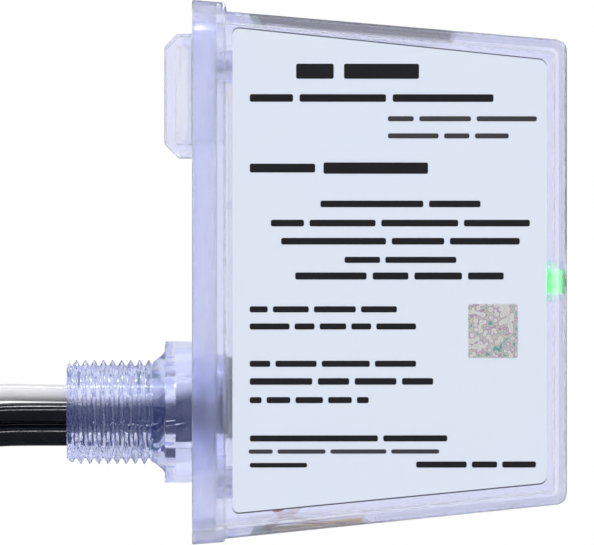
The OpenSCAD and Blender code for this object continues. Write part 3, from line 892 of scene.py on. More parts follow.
@dataclass
class Studio:
    """The camera, the lights, the white surround and the floor.

    Attributes:
        view_middle: The point that the camera looks at.
        view_width: Width of what it sees there.
        distance: How far away it stands.
        floor_drop: Height of the floor under the object's lowest point.
        floor_radius: Radius of the floor.
        gloss_light: Brightness of the surround as the outside of a glossy face reflects it.
        sky: Colours of the surround from straight below to straight above.
        lamps: Each light's name, place, side, power and colour.
    """

    view_middle: Vector = field(default_factory=lambda: metres((26.4, 0.0, 27.9)))
    view_width: float = 118.8 * MM
    distance: float = 4.0
    floor_drop: float = 6 * MM
    floor_radius: float = 1.6
    gloss_light: float = 0.15
    sky: tuple[tuple[float, Colour], ...] = (
        (0.0, (0.78, 0.81, 0.97)), (0.34, (0.90, 0.92, 1.0)), (0.46, WHITE), (0.56, WHITE),
        (0.8, (0.92, 0.94, 1.0)), (1.0, (0.84, 0.87, 0.99)))
    lamps: tuple[tuple[str, Point, float, float, Colour], ...] = (
        ("overhead", (-0.02, -0.08, 1.2), 0.16, 1.6, WHITE),
        ("front_top", (-0.02, -0.95, 0.85), 0.14, 0.7, (0.96, 0.98, 1.0)),
        ("rim", (0.5, 1.2, 0.8), 0.5, 1.5, WHITE))

    def camera(self) -> None:
        """Sets a long lens square to the box's side."""
        data = bpy.data.cameras.new("side_camera")
        data.sensor_width = 36.0
        data.lens = data.sensor_width * self.distance / self.view_width
        data.clip_end = 100.0
        camera = bpy.data.objects.new("side_camera", data)
        camera.location = self.view_middle + Vector((0.0, -self.distance, 0.0))
        camera.rotation_euler = (math.pi / 2, 0.0, 0.0)
        bpy.context.scene.collection.objects.link(camera)
        bpy.context.scene.camera = camera

    def lamp(self, name: str, place: Point, size: float, watts: float, colour: Colour) -> None:
        """Adds a soft square light that faces the box and that clear plastic doesn't show.

        Args:
            name: The light's name.
            place: Where it hangs.
            size: Its side.
            watts: Its power.
            colour: Its colour.
        """
        data = bpy.data.lights.new(name, "AREA")
        data.size = size
        data.energy = watts
        data.color = colour
        light = bpy.data.objects.new(name, data)
        light.location = place
        light.visible_transmission = False
        light.rotation_euler = (self.view_middle - light.location).to_track_quat("-Z", "Y").to_euler()
        bpy.context.scene.collection.objects.link(light)

    def surround(self) -> None:
        """Makes the surround: white to matt faces, dim to gloss outside, and tinted overhead and below."""
        graph = Graph("white_surround", world=True)
        height = graph.axis("Z") * 0.5 + 0.5
        seen = graph.node("ShaderNodeValToRGB", {"stops": self.sky}, {0: height}).outputs[0]
        path = graph.node("ShaderNodeLightPath")
        matt = Channel(graph, path.outputs["Is Diffuse Ray"])
        inside = Channel(graph, path.outputs["Transmission Depth"]).clamp()
        gloss = Channel(graph, path.outputs["Is Glossy Ray"]) * (1.0 - inside)
        colour = graph.mix(seen, WHITE, matt)
        strength = gloss * (self.gloss_light - 1.0) + 1.0
        back = graph.node("ShaderNodeBackground", None, {"Color": colour, "Strength": strength})
        graph.node("ShaderNodeOutputWorld", None, {"Surface": back.outputs[0]})
        bpy.context.scene.world = graph.material

    def floor(self) -> None:
        """Lays a pale floor below the object's lowest point, which gloss doesn't reflect."""
        height = CAD_BOUNDS[0][2] - self.floor_drop
        floor = Bench.start("floor", bpy.ops.mesh.primitive_circle_add, vertices=96, radius=self.floor_radius,
                            fill_type="NGON", location=(0.0, 0.0, height))
        Bench.settle(floor)
        graph = Graph("floor_paper")
        cloud = graph.noise(3.0, 2.0)
        colour = graph.mix((0.82, 0.82, 0.83), (0.86, 0.86, 0.87), cloud)
        floor.data.materials.append(graph.finish(graph.surface(Base_Color=colour, Roughness=0.6)))
        floor.visible_glossy = False

    def build(self) -> None:
        """Sets up the whole studio."""
        self.camera()
        self.surround()
        self.floor()
        for lamp in self.lamps:
            self.lamp(*lamp)
        bpy.context.scene.view_settings.view_transform = "Standard"
        log.info("studio: camera at %.2f m", self.distance)


# ---------------------------------------------------------------------------------------------------------------
# Leads outside the box
# ---------------------------------------------------------------------------------------------------------------


@dataclass(frozen=True)
class Lead:
    """One lead: its route outside to the coil, its place in the bundle, its tail, and its route inside the box.

    Attributes:
        name: The lead's name, which is also its CAD node's.
        finish: The jacket.
        diameter: Over the jacket, in millimetres.
        route: Points from the nipple's mouth to the coil, in millimetres.
        phase: Its turn within the bundle of three where the coil starts, in degrees.
        tail: Points from the coil to the stripped end, in millimetres.
        inner: Points from the nipple's mouth to the terminal, in millimetres.
    """

    name: str
    finish: Finish
    diameter: float
    route: tuple[Point, ...]
    phase: float
    tail: tuple[Point, ...]
    inner: tuple[Point, ...]


LEADS = (
    Lead("lead_white", Finish.WHITE_JACKET, 3.4, (
        (-19.6, 1.3, 3.7), (-26, 1.3, 3.8), (-32, 1.2, 3.9), (-38, 0.8, 3.5), (-44, 0.2, 2.3),
        (-50, -0.8, -0.2), (-55.5, -2, -4), (-60, -3.2, -9), (-63.7, -4.5, -15), (-66.3, -5.7, -21.5),
        (-68, -6.8, -28.5), (-69, -7.8, -36), (-69.4, -8.6, -44), (-69.5, -9.1, -52), (-69.5, -9.4, -62)), 0.0, (
        (-69.5, 9.4, -62), (-69.5, 9.4, -68), (-69.7, 9.4, -74), (-70, 9.4, -80), (-70.5, 9.4, -86),
        (-71.2, 9.4, -91)), (
        (-19.6, 1.3, 3.7), (-14, 1.2, 3.5), (-8, 1.2, 3.5), (-3, 1.4, 3.4), (1.4, 1.6, 3.5), (5.4, 1.6, 4.7),
        (9, 1.4, 6), (12.5, 1.1, 7.3), (16, 0.8, 8.6), (19.3, 0.4, 10.4), (22, 0.1, 13), (23.4, 0, 16),
        (23.5, 0, 18), (23.5, 0, 22))),
    Lead("lead_black_a", Finish.BLACK_JACKET, 4.3, (
        (-19.6, -1, -0.3), (-26, -1, -0.3), (-32, -1, -0.4), (-38, -1.1, -0.9), (-43.5, -1.3, -2.3),
        (-48.5, -1.7, -5), (-53, -2.2, -9), (-57, -2.8, -14.2), (-60.2, -3.6, -20), (-62.6, -4.4, -26.5),
        (-64.2, -5.2, -33.5), (-65.2, -6, -41), (-65.7, -6.7, -50), (-65.75, -7.2, -62)), 120.0, (
        (-65.75, 11.6, -62), (-65.7, 11.7, -68), (-65.6, 12, -74), (-65.4, 12.5, -80), (-65, 13.2, -86),
        (-64.5, 14, -91)), (
        (-19.6, -1, -0.3), (-14, -1, -0.3), (-8, -1, -0.3), (-3, -1, -0.4), (1.4, -1, -0.3), (5.4, -1, 0.9),
        (9, -1.2, 2.1), (12.5, -1.8, 3.2), (16, -3, 4.2), (19.3, -5, 5.5), (22, -7.6, 7.8), (23.4, -10, 11),
        (23.5, -11.7, 14.8), (23.5, -12, 18), (23.5, -12, 22))),
    Lead("lead_black_b", Finish.BLACK_JACKET, 4.3, (
        (-19.6, -0.8, -4.6), (-26, -0.8, -4.6), (-32, -0.9, -4.7), (-37, -1.3, -5.2), (-41.8, -2, -6.6),
        (-46.2, -3, -9.2), (-50, -4.2, -12.8), (-53.6, -5.5, -17.5), (-57, -6.8, -23), (-60, -8, -29),
        (-62.6, -9.2, -35.5), (-64.4, -10.3, -42.5), (-65.5, -11.2, -51), (-65.75, -11.6, -62)), 240.0, (
        (-65.75, 7.2, -62), (-65.8, 7.1, -68), (-65.8, 6.8, -74), (-65.7, 6.3, -80), (-65.5, 5.6, -86),
        (-65.2, 4.8, -91)), (
        (-19.6, -0.8, -4.6), (-14, -0.8, -4.6), (-8, -0.8, -4.7), (-3, -0.8, -4.9), (1.4, -0.8, -4.9),
        (5.4, -0.8, -3.6), (9, -0.4, -2.4), (12.5, 0.4, -1.3), (16, 2, -0.2), (19.3, 4.4, 1.5), (22, 7.4, 4.4),
        (23.4, 10, 8.4), (23.5, 11.7, 13), (23.5, 12, 18), (23.5, 12, 22))),
)


@dataclass
class Harness:
    """The three free leads, their coil, its tie and their stripped ends. Sizes in millimetres.

    Attributes:
        length: Real length of each lead outside the nipple; not used.
        middle: The coil's middle.
        radius: Mean radius of the coil.
        turns: Number of turns.
        bundle: Distance between neighbouring turns.
        spread: Distance of each lead from the bundle's middle.
        per_turn: Points a turn.
    """

    length: float = 457.0
    middle: Point = (-42.0, 0.0, -62.0)
    radius: float = 25.0
    turns: int = 2
    bundle: float = 9.4
    spread: float = 2.5
    per_turn: int = 36

    def turns_of(self, phase: float) -> list[Vector]:
        """Returns the points of one lead's turns in metres, wound from the back of the coil to the front.

        Args:
            phase: The lead's turn within the bundle where the coil starts, in degrees.
        """
        line = []
        for step in range(1, self.turns * self.per_turn):
            turn = step / self.per_turn
            angle = math.pi + math.tau * turn
            twist = math.radians(phase) + math.tau * turn
            reach = self.radius + self.spread * math.cos(twist)
            across = self.bundle * (turn - self.turns / 2) + self.spread * math.sin(twist)
            line.append(metres(self.middle) + metres((reach * math.cos(angle), across, reach * math.sin(angle))))
        return line

    def lead(self, lead: Lead, fittings: list[bpy.types.Object]) -> None:
        route, tail = Bench.smooth_line(lead.route), Bench.smooth_line(lead.tail)
        line = [*route, *self.turns_of(lead.phase), *tail]
        wire = Bench.wire(lead.name + "_wire", line, lead.diameter, 6)
        Bench.dress(wire, lead.finish, [lead.name, "lead_coil"])

    @staticmethod
    def stripped(lead: Lead) -> bpy.types.Object:
        """Makes the seven twisted copper strands that stand out of one lead's end."""
        last, before = Vector(lead.tail[-1]), Vector(lead.tail[-2])
        along = (last - before).normalized()
        side = along.orthogonal().normalized()
        strand = 0.19 * lead.diameter
        strands = []
        for number in range(7):
            ring = 0.0 if number == 6 else strand
            line = []
            for step in range(13):
                turn = math.tau * (number / 6 + step / 26)
                out = side * math.cos(turn) + along.cross(side) * math.sin(turn)
                line.append((last + along * (step * 0.8 - 0.1) + out * ring) * MM)
            strands.append(Bench.as_mesh(Bench.wire("strand", line, strand, 2)))
        return Bench.dress(Bench.join(lead.name + "_strands", strands), Finish.COPPER, ["stripped_ends"])

    def tie(self) -> bpy.types.Object:
        """Makes the nylon tie that holds the coil: a strap, its head and its cut tail."""
        low, high = box_mm("coil_tie")
        strap, band, head_x = 1.2, 3.6, high.x - 3.1
        mid = self.middle[2]
        ring = Bench.block("tie_strap", (low.x, low.y, mid - band / 2), (head_x, -low.y, mid + band / 2), 0.4)
        inside = Bench.block("tie_inside", (low.x + strap, low.y + strap, mid - band),
                             (head_x - strap, -low.y - strap, mid + band))
        Bench.combine(ring, inside, "DIFFERENCE")
        head = Bench.block("tie_head", (head_x - 0.1, -3, low.z), (high.x, 2, high.z), 0.5)
        slot = Bench.block("tie_slot", (head_x + 0.7, -4, mid - 1.7), (head_x + 2, 3, mid + 1.7))
        Bench.combine(head, slot, "DIFFERENCE")
        tail = Bench.block("tie_tail", (head_x + 0.8, -3.4, mid - 1.6), (head_x + 1.9, 9, mid + 1.6), 0.3)
        teeth = [Bench.block("tie_tooth", (head_x + 1.8, 2.6 + step, mid - 1), (head_x + 2.05, 3.1 + step, mid + 1),
                             0.08, 1) for step in range(6)]
        return Bench.dress(Bench.join("coil_strap", [ring, head, tail, *teeth]), Finish.TIE, ["coil_tie"])

    def build(self) -> None:
        """Makes the leads, their ends and the tie."""
        tie = self.tie()
        for lead in LEADS:
            fittings = [self.stripped(lead)]
            self.lead(lead, fittings + [tie] if lead is LEADS[1] else fittings)


# ---------------------------------------------------------------------------------------------------------------
# Housing
# ---------------------------------------------------------------------------------------------------------------


@dataclass
class Cover:
    """The clear drafted cover, its skirt and the ring that holds the lamp. Sizes in millimetres.

    Attributes:
        back: Where the skirt begins.
        step: Where the body begins, in front of the skirt.
        front: The front face.
        wall: Thickness of the walls.
        low: The underside where the body begins, and at the front.
        high: The top at the same two places.
        half: Half the width at the same two places.
        skirt: The skirt's underside, top and half width at its back.
        lean: How far the skirt closes in for each millimetre forward.
        floor: Where the recess for the base ends.
        ring: Stations of the ring that holds the lamp.
        ring_hole: Stations of the hole through it.
    """

    back: float = 5.6
    step: float = 12.2
    front: float = 80.0
    wall: float = 2.4
    low: tuple[float, float] = (-24.9, -18.0)
    high: tuple[float, float] = (79.7, 74.0)
    half: tuple[float, float] = (36.4, 30.2)
    skirt: Point = (-26.1, 82.0, 38.0)
    lean: float = 0.09
    floor: float = 10.2
    ring: tuple[tuple[float, float], ...] = ((72.6, 4.1), (72.7, 4.2), (77.7, 4.2))
    ring_hole: tuple[tuple[float, float], ...] = ((72.0, 2.65), (77.5, 2.65), (77.6, 2.55))

    def body_at(self, x: float, inset: float) -> Outline:
        """Returns the body's outline at a distance, taken in on all sides."""
        share = (x - self.step) / (self.front - self.step)
        low, high, half = (ends[0] + (ends[1] - ends[0]) * share for ends in (self.low, self.high, self.half))
        return Outline(x, low + inset, high - inset, half - inset)

    def skirt_at(self, x: float, inset: float) -> Outline:
        """Returns the skirt's outline at a distance, taken in on all sides."""
        inset += self.lean * (x - self.back)
        return Outline(x, self.skirt[0] + inset, self.skirt[1] - inset, self.skirt[2] - inset)

    @staticmethod
    def rounded_end(shape: Callable[[float, float], Outline], end: float, radius: float, inset: float = 0.0,
                    steps: int = 6) -> list[Outline]:
        """Returns the outlines of a rounding that ends a shape.

        Args:
            shape: Gives the outline at a distance, taken in by an amount.
            end: Where the shape ends.
            radius: The rounding's radius.
            inset: How far the shape is taken in already.
            steps: How many outlines follow the first.

        Returns:
            The outlines, from where the rounding begins to the end.
        """
        begin = end - radius
        outlines = []
        for step in range(steps + 1):
            angle = math.pi / 2 * step / steps
            at = shape(begin, inset + radius * (1 - math.cos(angle)))
            outlines.append(Outline(begin + radius * math.sin(angle), at.low, at.high, at.half))
        return outlines

    def build(self) -> None:
        """Draws the body and the skirt, hollows them, and adds the lamp's ring."""
        cover = Loft("cover_shell", self.body_at(11.0, 0.0), 3.2).through(
            self.rounded_end(self.body_at, self.front, 2.2)).close()
        skirt = Loft("skirt", self.skirt_at(self.back, 0.25), 4.0).through(
            [self.skirt_at(self.back + 0.25, 0.0), *self.rounded_end(self.skirt_at, self.step, 0.6, 0.0, 4)]).close()
        Bench.combine(cover, skirt, "UNION")
        cavity = Loft("cavity", self.body_at(self.floor - 0.6, self.wall), 2.0).through(
            self.rounded_end(self.body_at, self.front - self.wall, 1.0, self.wall, 4)).close()
        Bench.combine(cover, cavity, "DIFFERENCE")
        recess = Loft("recess", self.skirt_at(self.back - 0.5, 2.0), 4.0).to(self.skirt_at(self.floor, 2.0)).close()
        Bench.combine(cover, recess, "DIFFERENCE")
        Bench.combine(cover, Bench.turned("ring", self.ring, z=LAMP_Z), "UNION")
        Bench.combine(cover, Bench.turned("ring_hole", self.ring_hole, z=LAMP_Z), "DIFFERENCE")
        Bench.dress(cover, Finish.COVER, ["cover"])


@dataclass
class Nipple:
    """The hexagonal fitting with its threaded nipple. Sizes in millimetres.

    Attributes:
        mouth: The nipple's open end.
        pitch: From crest to crest.
        first_crest: Where the first crest lies at the top.
        root: Radius at the roots.
        crest: Radius over the crests.
        bore: Radius of the bore.
        corner: Distance of the hexagon's corners from the axis.
        hex_end: Where the hexagon meets the base.
        end_wall: Thickness of the hexagon's end wall.
        hollow: Distance of the hollow's corners from the axis.
        spigot: The spigot's radius outside and inside, and where it ends.
        sides: Faces round the nipple.
        rise: Distance between the thread's rings.
        shoulder: Stations of the flare from the last thread to inside the hexagon.
    """

    mouth: float = -19.6
    pitch: float = 25.4 / 14
    first_crest: float = -17.73
    root: float = 9.25
    crest: float = 10.4
    bore: float = 7.5
    corner: float = 14.2
    hex_end: float = 5.6
    end_wall: float = 2.2
    hollow: float = 11.66
    spigot: Point = (11.5, 9.4, 11.2)
    sides: int = 96
    rise: float = 0.125
    shoulder: tuple[tuple[float, float], ...] = (
        (-2.3, 10.05), (-1.9, 10.35), (-1.4, 10.7), (-0.6, 11.35), (0.0, 12.15), (0.9, 12.2))

    def thread_radius(self, x: float, turn: float) -> float:
        """Returns the thread's radius.

        Args:
            x: Distance along the axis.
            turn: Share of a turn from the top, towards the near side.

        Returns:
            The radius, on a crest that moves one pitch forward with each turn.
        """
        phase = (x - self.first_crest) / self.pitch - turn
        slope = 1.0 - 2.0 * abs(phase - round(phase))
        height = min(1.0, max(0.0, (slope - 0.22) / 0.68))
        height = height + 0.12 * math.sin(math.tau * height) / math.tau
        chamfer = self.root + 0.25 + (x - self.mouth) * 0.5
        return min(chamfer, self.root + (self.crest - self.root) * height)

    def tube(self) -> bpy.types.Object:
        """Rolls a grid into the threaded tube: out over the mouth, along the thread and back through the bore."""
        end = self.shoulder[-1][0]
        rings = int((self.shoulder[0][0] - 0.1 - self.mouth) / self.rise)
        stations: list[tuple[float, float | None]] = [(self.mouth, self.bore), (self.mouth, 8.6)]
        stations += [(self.mouth + self.rise * ring, None) for ring in range(rings)]
        stations += [*self.shoulder, (end, self.bore)]
        stations += [(end + (self.mouth - end) * step / 8, self.bore) for step in range(1, 9)]
        tube = Bench.start("nipple_moulding", bpy.ops.mesh.primitive_grid_add, size=1.0,
                           x_subdivisions=len(stations) - 1, y_subdivisions=self.sides)
        for vertex in tube.data.vertices:
            x, radius = stations[round((vertex.co.x + 0.5) * (len(stations) - 1))]
            turn = vertex.co.y + 0.5
            if radius is None:
                radius = self.thread_radius(x, turn)
            angle = math.tau * turn
            vertex.co = metres((x, -radius * math.sin(angle), radius * math.cos(angle)))
        return Bench.outward(tube)

    def hexagon(self, name: str, low: float, high: float, corner: float, edge: float) -> bpy.types.Object:
        """Adds a hexagonal block with a corner at the top and one at the bottom."""
        block = Bench.turned(name, [(low, corner), (high, corner)], sides=6)
        block.data.transform(Matrix.Rotation(math.pi / 2, 4, "X"))
        if edge:
            Bench.modifier(block, "BEVEL", width=edge * MM, segments=3, limit_method="NONE")
        return block

    def build(self) -> None:
        """Bores and hollows the hexagon with its spigot, and joins it to the threaded tube."""
        out, inside, end = self.spigot
        fitting = self.hexagon("hexagon", 0.0, self.hex_end, self.corner, 0.3)
        spigot = Bench.turned("spigot", [(self.hex_end - 0.5, out), (end - 0.4, out), (end, out - 0.4)], sides=96)
        Bench.combine(fitting, spigot, "UNION")
        bore = Bench.turned("bore", [(-1.0, self.bore + 0.1), (end + 1, self.bore + 0.1)], sides=96)
        Bench.combine(fitting, bore, "DIFFERENCE")
        hollow = self.hexagon("hollow", self.end_wall, self.hex_end, self.hollow, 0.0)
        Bench.combine(fitting, hollow, "DIFFERENCE")
        well = Bench.turned("well", [(self.hex_end - 0.05, inside), (end + 1, inside)], sides=96)
        Bench.combine(fitting, well, "DIFFERENCE")
        Bench.dress(Bench.combine(self.tube(), fitting, "UNION"), Finish.NIPPLE, ["hex_nipple"])


@dataclass
class Base:
    """The base plate with its pad and posts, and the bead that bonds it into the skirt."""

    gap: float = 0.02

    def build(self) -> None:
        """Rounds the plate's edges and draws both pieces clear of what they touch."""
        Bench.dress(Bench.shrunk(Bench.softened("base", 0.3), self.gap), Finish.BASE, ["base"])
        Bench.dress(Bench.shrunk(Bench.softened("rim_seal", 0.0), self.gap), Finish.SEAL, ["rim_seal"])


class Weight(Enum):
    """How heavily a line of print is inked: the bar's share of the line's height, and its finish."""

    BOLD = (0.62, Finish.INK)
    PLAIN = (0.5, Finish.INK)
    LIGHT = (0.38, Finish.PALE_INK)


@dataclass(frozen=True)
class PrintLine:
    """One line of plain bars that stand for words, in millimetres.

    Attributes:
        left: Where the line begins.
        right: Where it ends.
        foot: Its lowest point.
        top: Its highest point.
        words: How many bars it has.
        weight: How heavily it is inked.
    """

    left: float
    right: float
    foot: float
    top: float
    words: int
    weight: Weight = Weight.PLAIN


@dataclass
class SideLabel:
    """The printed film on the near side, a dark border of painted shade along its edges, and the patterned foil.
    Sizes in millimetres.

    Attributes:
        corner: Where the side wall begins.
        angle: How far the side wall turns in, in radians.
        ends: The film's two ends along the wall.
        low: The film's lower edge at its two ends.
        high: The film's upper edge at its two ends.
        film: The film's thickness.
        ink: Thickness of the print.
        foil: The foil's two ends along the wall, its lower edge at them, and its upper edge at them.
        lines: The lines of print.
    """

    corner: tuple[float, float] = (12.2, -36.4)
    angle: float = math.atan(6.2 / 67.8)
    ends: tuple[float, float] = (1.4, 64.0)
    low: tuple[float, float] = (-19.8, -13.8)
    high: tuple[float, float] = (76.4, 70.0)
    film: float = 0.2
    ink: float = 0.03
    foil: tuple[tuple[float, float], ...] = ((48.4, 58.2), (11.0, 11.0), (21.6, 21.6))
    lines: tuple[PrintLine, ...] = (
        PrintLine(26.2, 50.6, 65.4, 70.2, 2, Weight.BOLD), PrintLine(17.0, 65.4, 61.0, 64.0, 3),
        PrintLine(44.4, 74.0, 57.1, 59.7, 3, Weight.LIGHT), PrintLine(44.4, 68.4, 53.7, 56.3, 3, Weight.LIGHT),
        PrintLine(17.0, 30.0, 47.2, 50.0, 1, Weight.BOLD), PrintLine(31.6, 52.4, 46.8, 50.4, 1, Weight.BOLD),
        PrintLine(31.0, 62.8, 40.2, 42.8, 2), PrintLine(21.2, 72.6, 36.4, 39.0, 4),
        PrintLine(23.2, 70.6, 32.8, 35.4, 3), PrintLine(35.8, 58.0, 29.2, 31.6, 2),
        PrintLine(26.0, 67.4, 25.8, 28.6, 4), PrintLine(17.0, 46.2, 19.4, 21.8, 4),
        PrintLine(17.0, 50.0, 16.0, 18.4, 5), PrintLine(17.0, 50.0, 8.6, 11.0, 4),
        PrintLine(17.0, 53.4, 5.0, 7.6, 4), PrintLine(17.0, 40.6, 1.4, 3.8, 5),
        PrintLine(17.0, 56.2, -6.2, -3.8, 2), PrintLine(16.8, 54.6, -8.7, -6.5, 4, Weight.LIGHT),
        PrintLine(17.0, 28.4, -11.2, -9.4, 1), PrintLine(50.0, 73.8, -11.4, -9.0, 3))

    def on_wall(self, piece: bpy.types.Object, gap: float) -> bpy.types.Object:
        """Turns a piece that was made flat against Y = 0 onto the side wall, a gap away from it."""
        place = Matrix.Translation(metres((*self.corner, 0.0))) @ Matrix.Rotation(self.angle, 4, "Z")
        piece.data.transform(place @ Matrix.Translation(metres((0.0, -gap, 0.0))))
        return piece

    @staticmethod
    def sheet(name: str, ends: Sequence[float], low: Sequence[float], high: Sequence[float], thick: float,
              corner: float) -> bpy.types.Object:
        """Adds a sheet with rounded corners, its two ends upright, against Y = 0.

        Args:
            name: The new object's name.
            ends: Where it begins and ends along X.
            low: Its lower edge at the two ends.
            high: Its upper edge at the two ends.
            thick: Its thickness, towards -Y.
            corner: Radius of its corners.

        Returns:
            The sheet.
        """
        tall = high[0] - low[0]
        made = Bench.start(name, bpy.ops.mesh.primitive_plane_add, size=1.0, rotation=(math.pi / 2, 0.0, 0.0),
                           location=metres((sum(ends) / 2, 0.0, (low[0] + high[0]) / 2)))
        made.scale = ((ends[1] - ends[0]) * MM, tall * MM, 1.0)
        Bench.settle(made)
        bpy.ops.object.mode_set(mode="EDIT")
        bpy.ops.mesh.select_all(action="DESELECT")
        shape = bmesh.from_edit_mesh(made.data)
        for vertex in shape.verts:
            vertex.select = vertex.co.x > sum(ends) / 2 * MM
        shape.select_flush(True)
        bmesh.update_edit_mesh(made.data)
        middle = metres((ends[1], 0.0, (low[0] + high[0]) / 2))
        bpy.ops.transform.resize(value=(1.0, 1.0, (high[1] - low[1]) / tall), center_override=middle)
        bpy.ops.transform.translate(value=metres((0.0, 0.0, (low[1] + high[1] - low[0] - high[0]) / 2)))
        bpy.ops.mesh.select_all(action="SELECT")
        bpy.ops.mesh.bevel(offset=corner * MM, segments=5, affect="VERTICES")
        bpy.ops.mesh.select_all(action="SELECT")
        bpy.ops.mesh.extrude_region_move(TRANSFORM_OT_translate={"value": metres((0.0, -thick, 0.0))})
        bpy.ops.object.mode_set(mode="OBJECT")
        return Bench.outward(made)

    def print_bars(self, weight: Weight) -> bpy.types.Object:
        """Makes every bar of one weight as one thin piece with rounded ends."""
        share, finish = weight.value
        made = None
        for number, line in enumerate(row for row in self.lines if row.weight is weight):
            tall = (line.top - line.foot) * share
            gap = 0.42 * (line.top - line.foot)
            sizes = [3 + (7 * word + 3 * number + 2 * word * word) % 6 for word in range(line.words)]
            room = line.right - line.left - gap * (line.words - 1)
            at = line.left
            for size in sizes:
                wide = room * size / sum(sizes)
                middle = metres((at + wide / 2 - self.corner[0], 0.0, (line.foot + line.top) / 2))
                middle.x /= math.cos(self.angle)
                square = {"size": MM, "location": middle, "rotation": (math.pi / 2, 0.0, 0.0)}
                if made is None:
                    made = Bench.settle(Bench.start("print_" + weight.name.lower(),
                                                    bpy.ops.mesh.primitive_plane_add, **square))
                    bpy.ops.object.mode_set(mode="EDIT")
                    bpy.ops.mesh.select_all(action="SELECT")
                else:
                    bpy.ops.mesh.primitive_plane_add(**square)
                bpy.ops.transform.resize(value=(wide, 1.0, tall), center_override=middle)
                at += wide + gap
        bpy.ops.mesh.select_all(action="SELECT")
        bpy.ops.mesh.bevel(offset=0.35 * MM, segments=3, affect="VERTICES", clamp_overlap=True)
        bpy.ops.mesh.select_all(action="SELECT")
        bpy.ops.mesh.extrude_region_move(TRANSFORM_OT_translate={"value": metres((0.0, -self.ink, 0.0))})
        bpy.ops.object.mode_set(mode="OBJECT")
        return Bench.dress(self.on_wall(Bench.outward(made), self.film + self.ink), finish)

    def build(self) -> None:
        """Sticks down the film, the dark border of painted shade behind its edges, the print and the foil."""
        # A dark sheet a little taller than the film, behind it: painted shade along the film's top and bottom edges.
        edge = self.sheet("label_edge_shade", self.ends, [low - 0.28 for low in self.low],
                          [high + 0.24 for high in self.high], 0.08, 1.4)
        Bench.dress(self.on_wall(edge, 0.015), Finish.EDGE_SHADE)
        film = self.sheet("label_sheet", self.ends, self.low, self.high, self.film - 0.1, 1.4)
        Bench.dress(self.on_wall(film, 0.11), Finish.FILM, ["side_label"])
        for weight in Weight:
            self.print_bars(weight)
        foil = self.sheet("foil_patch", *self.foil, 0.1, 0.35)
        Bench.dress(self.on_wall(foil, self.film + 0.02), Finish.FOIL, ["foil_sticker"])


# ---------------------------------------------------------------------------------------------------------------
# Inside the box
# ---------------------------------------------------------------------------------------------------------------


# The colour bands of a resistor, from its foot.
BAND_ORDER = (Finish.BAND, Finish.SLEEVE, Finish.BAND, Finish.CLAMP)


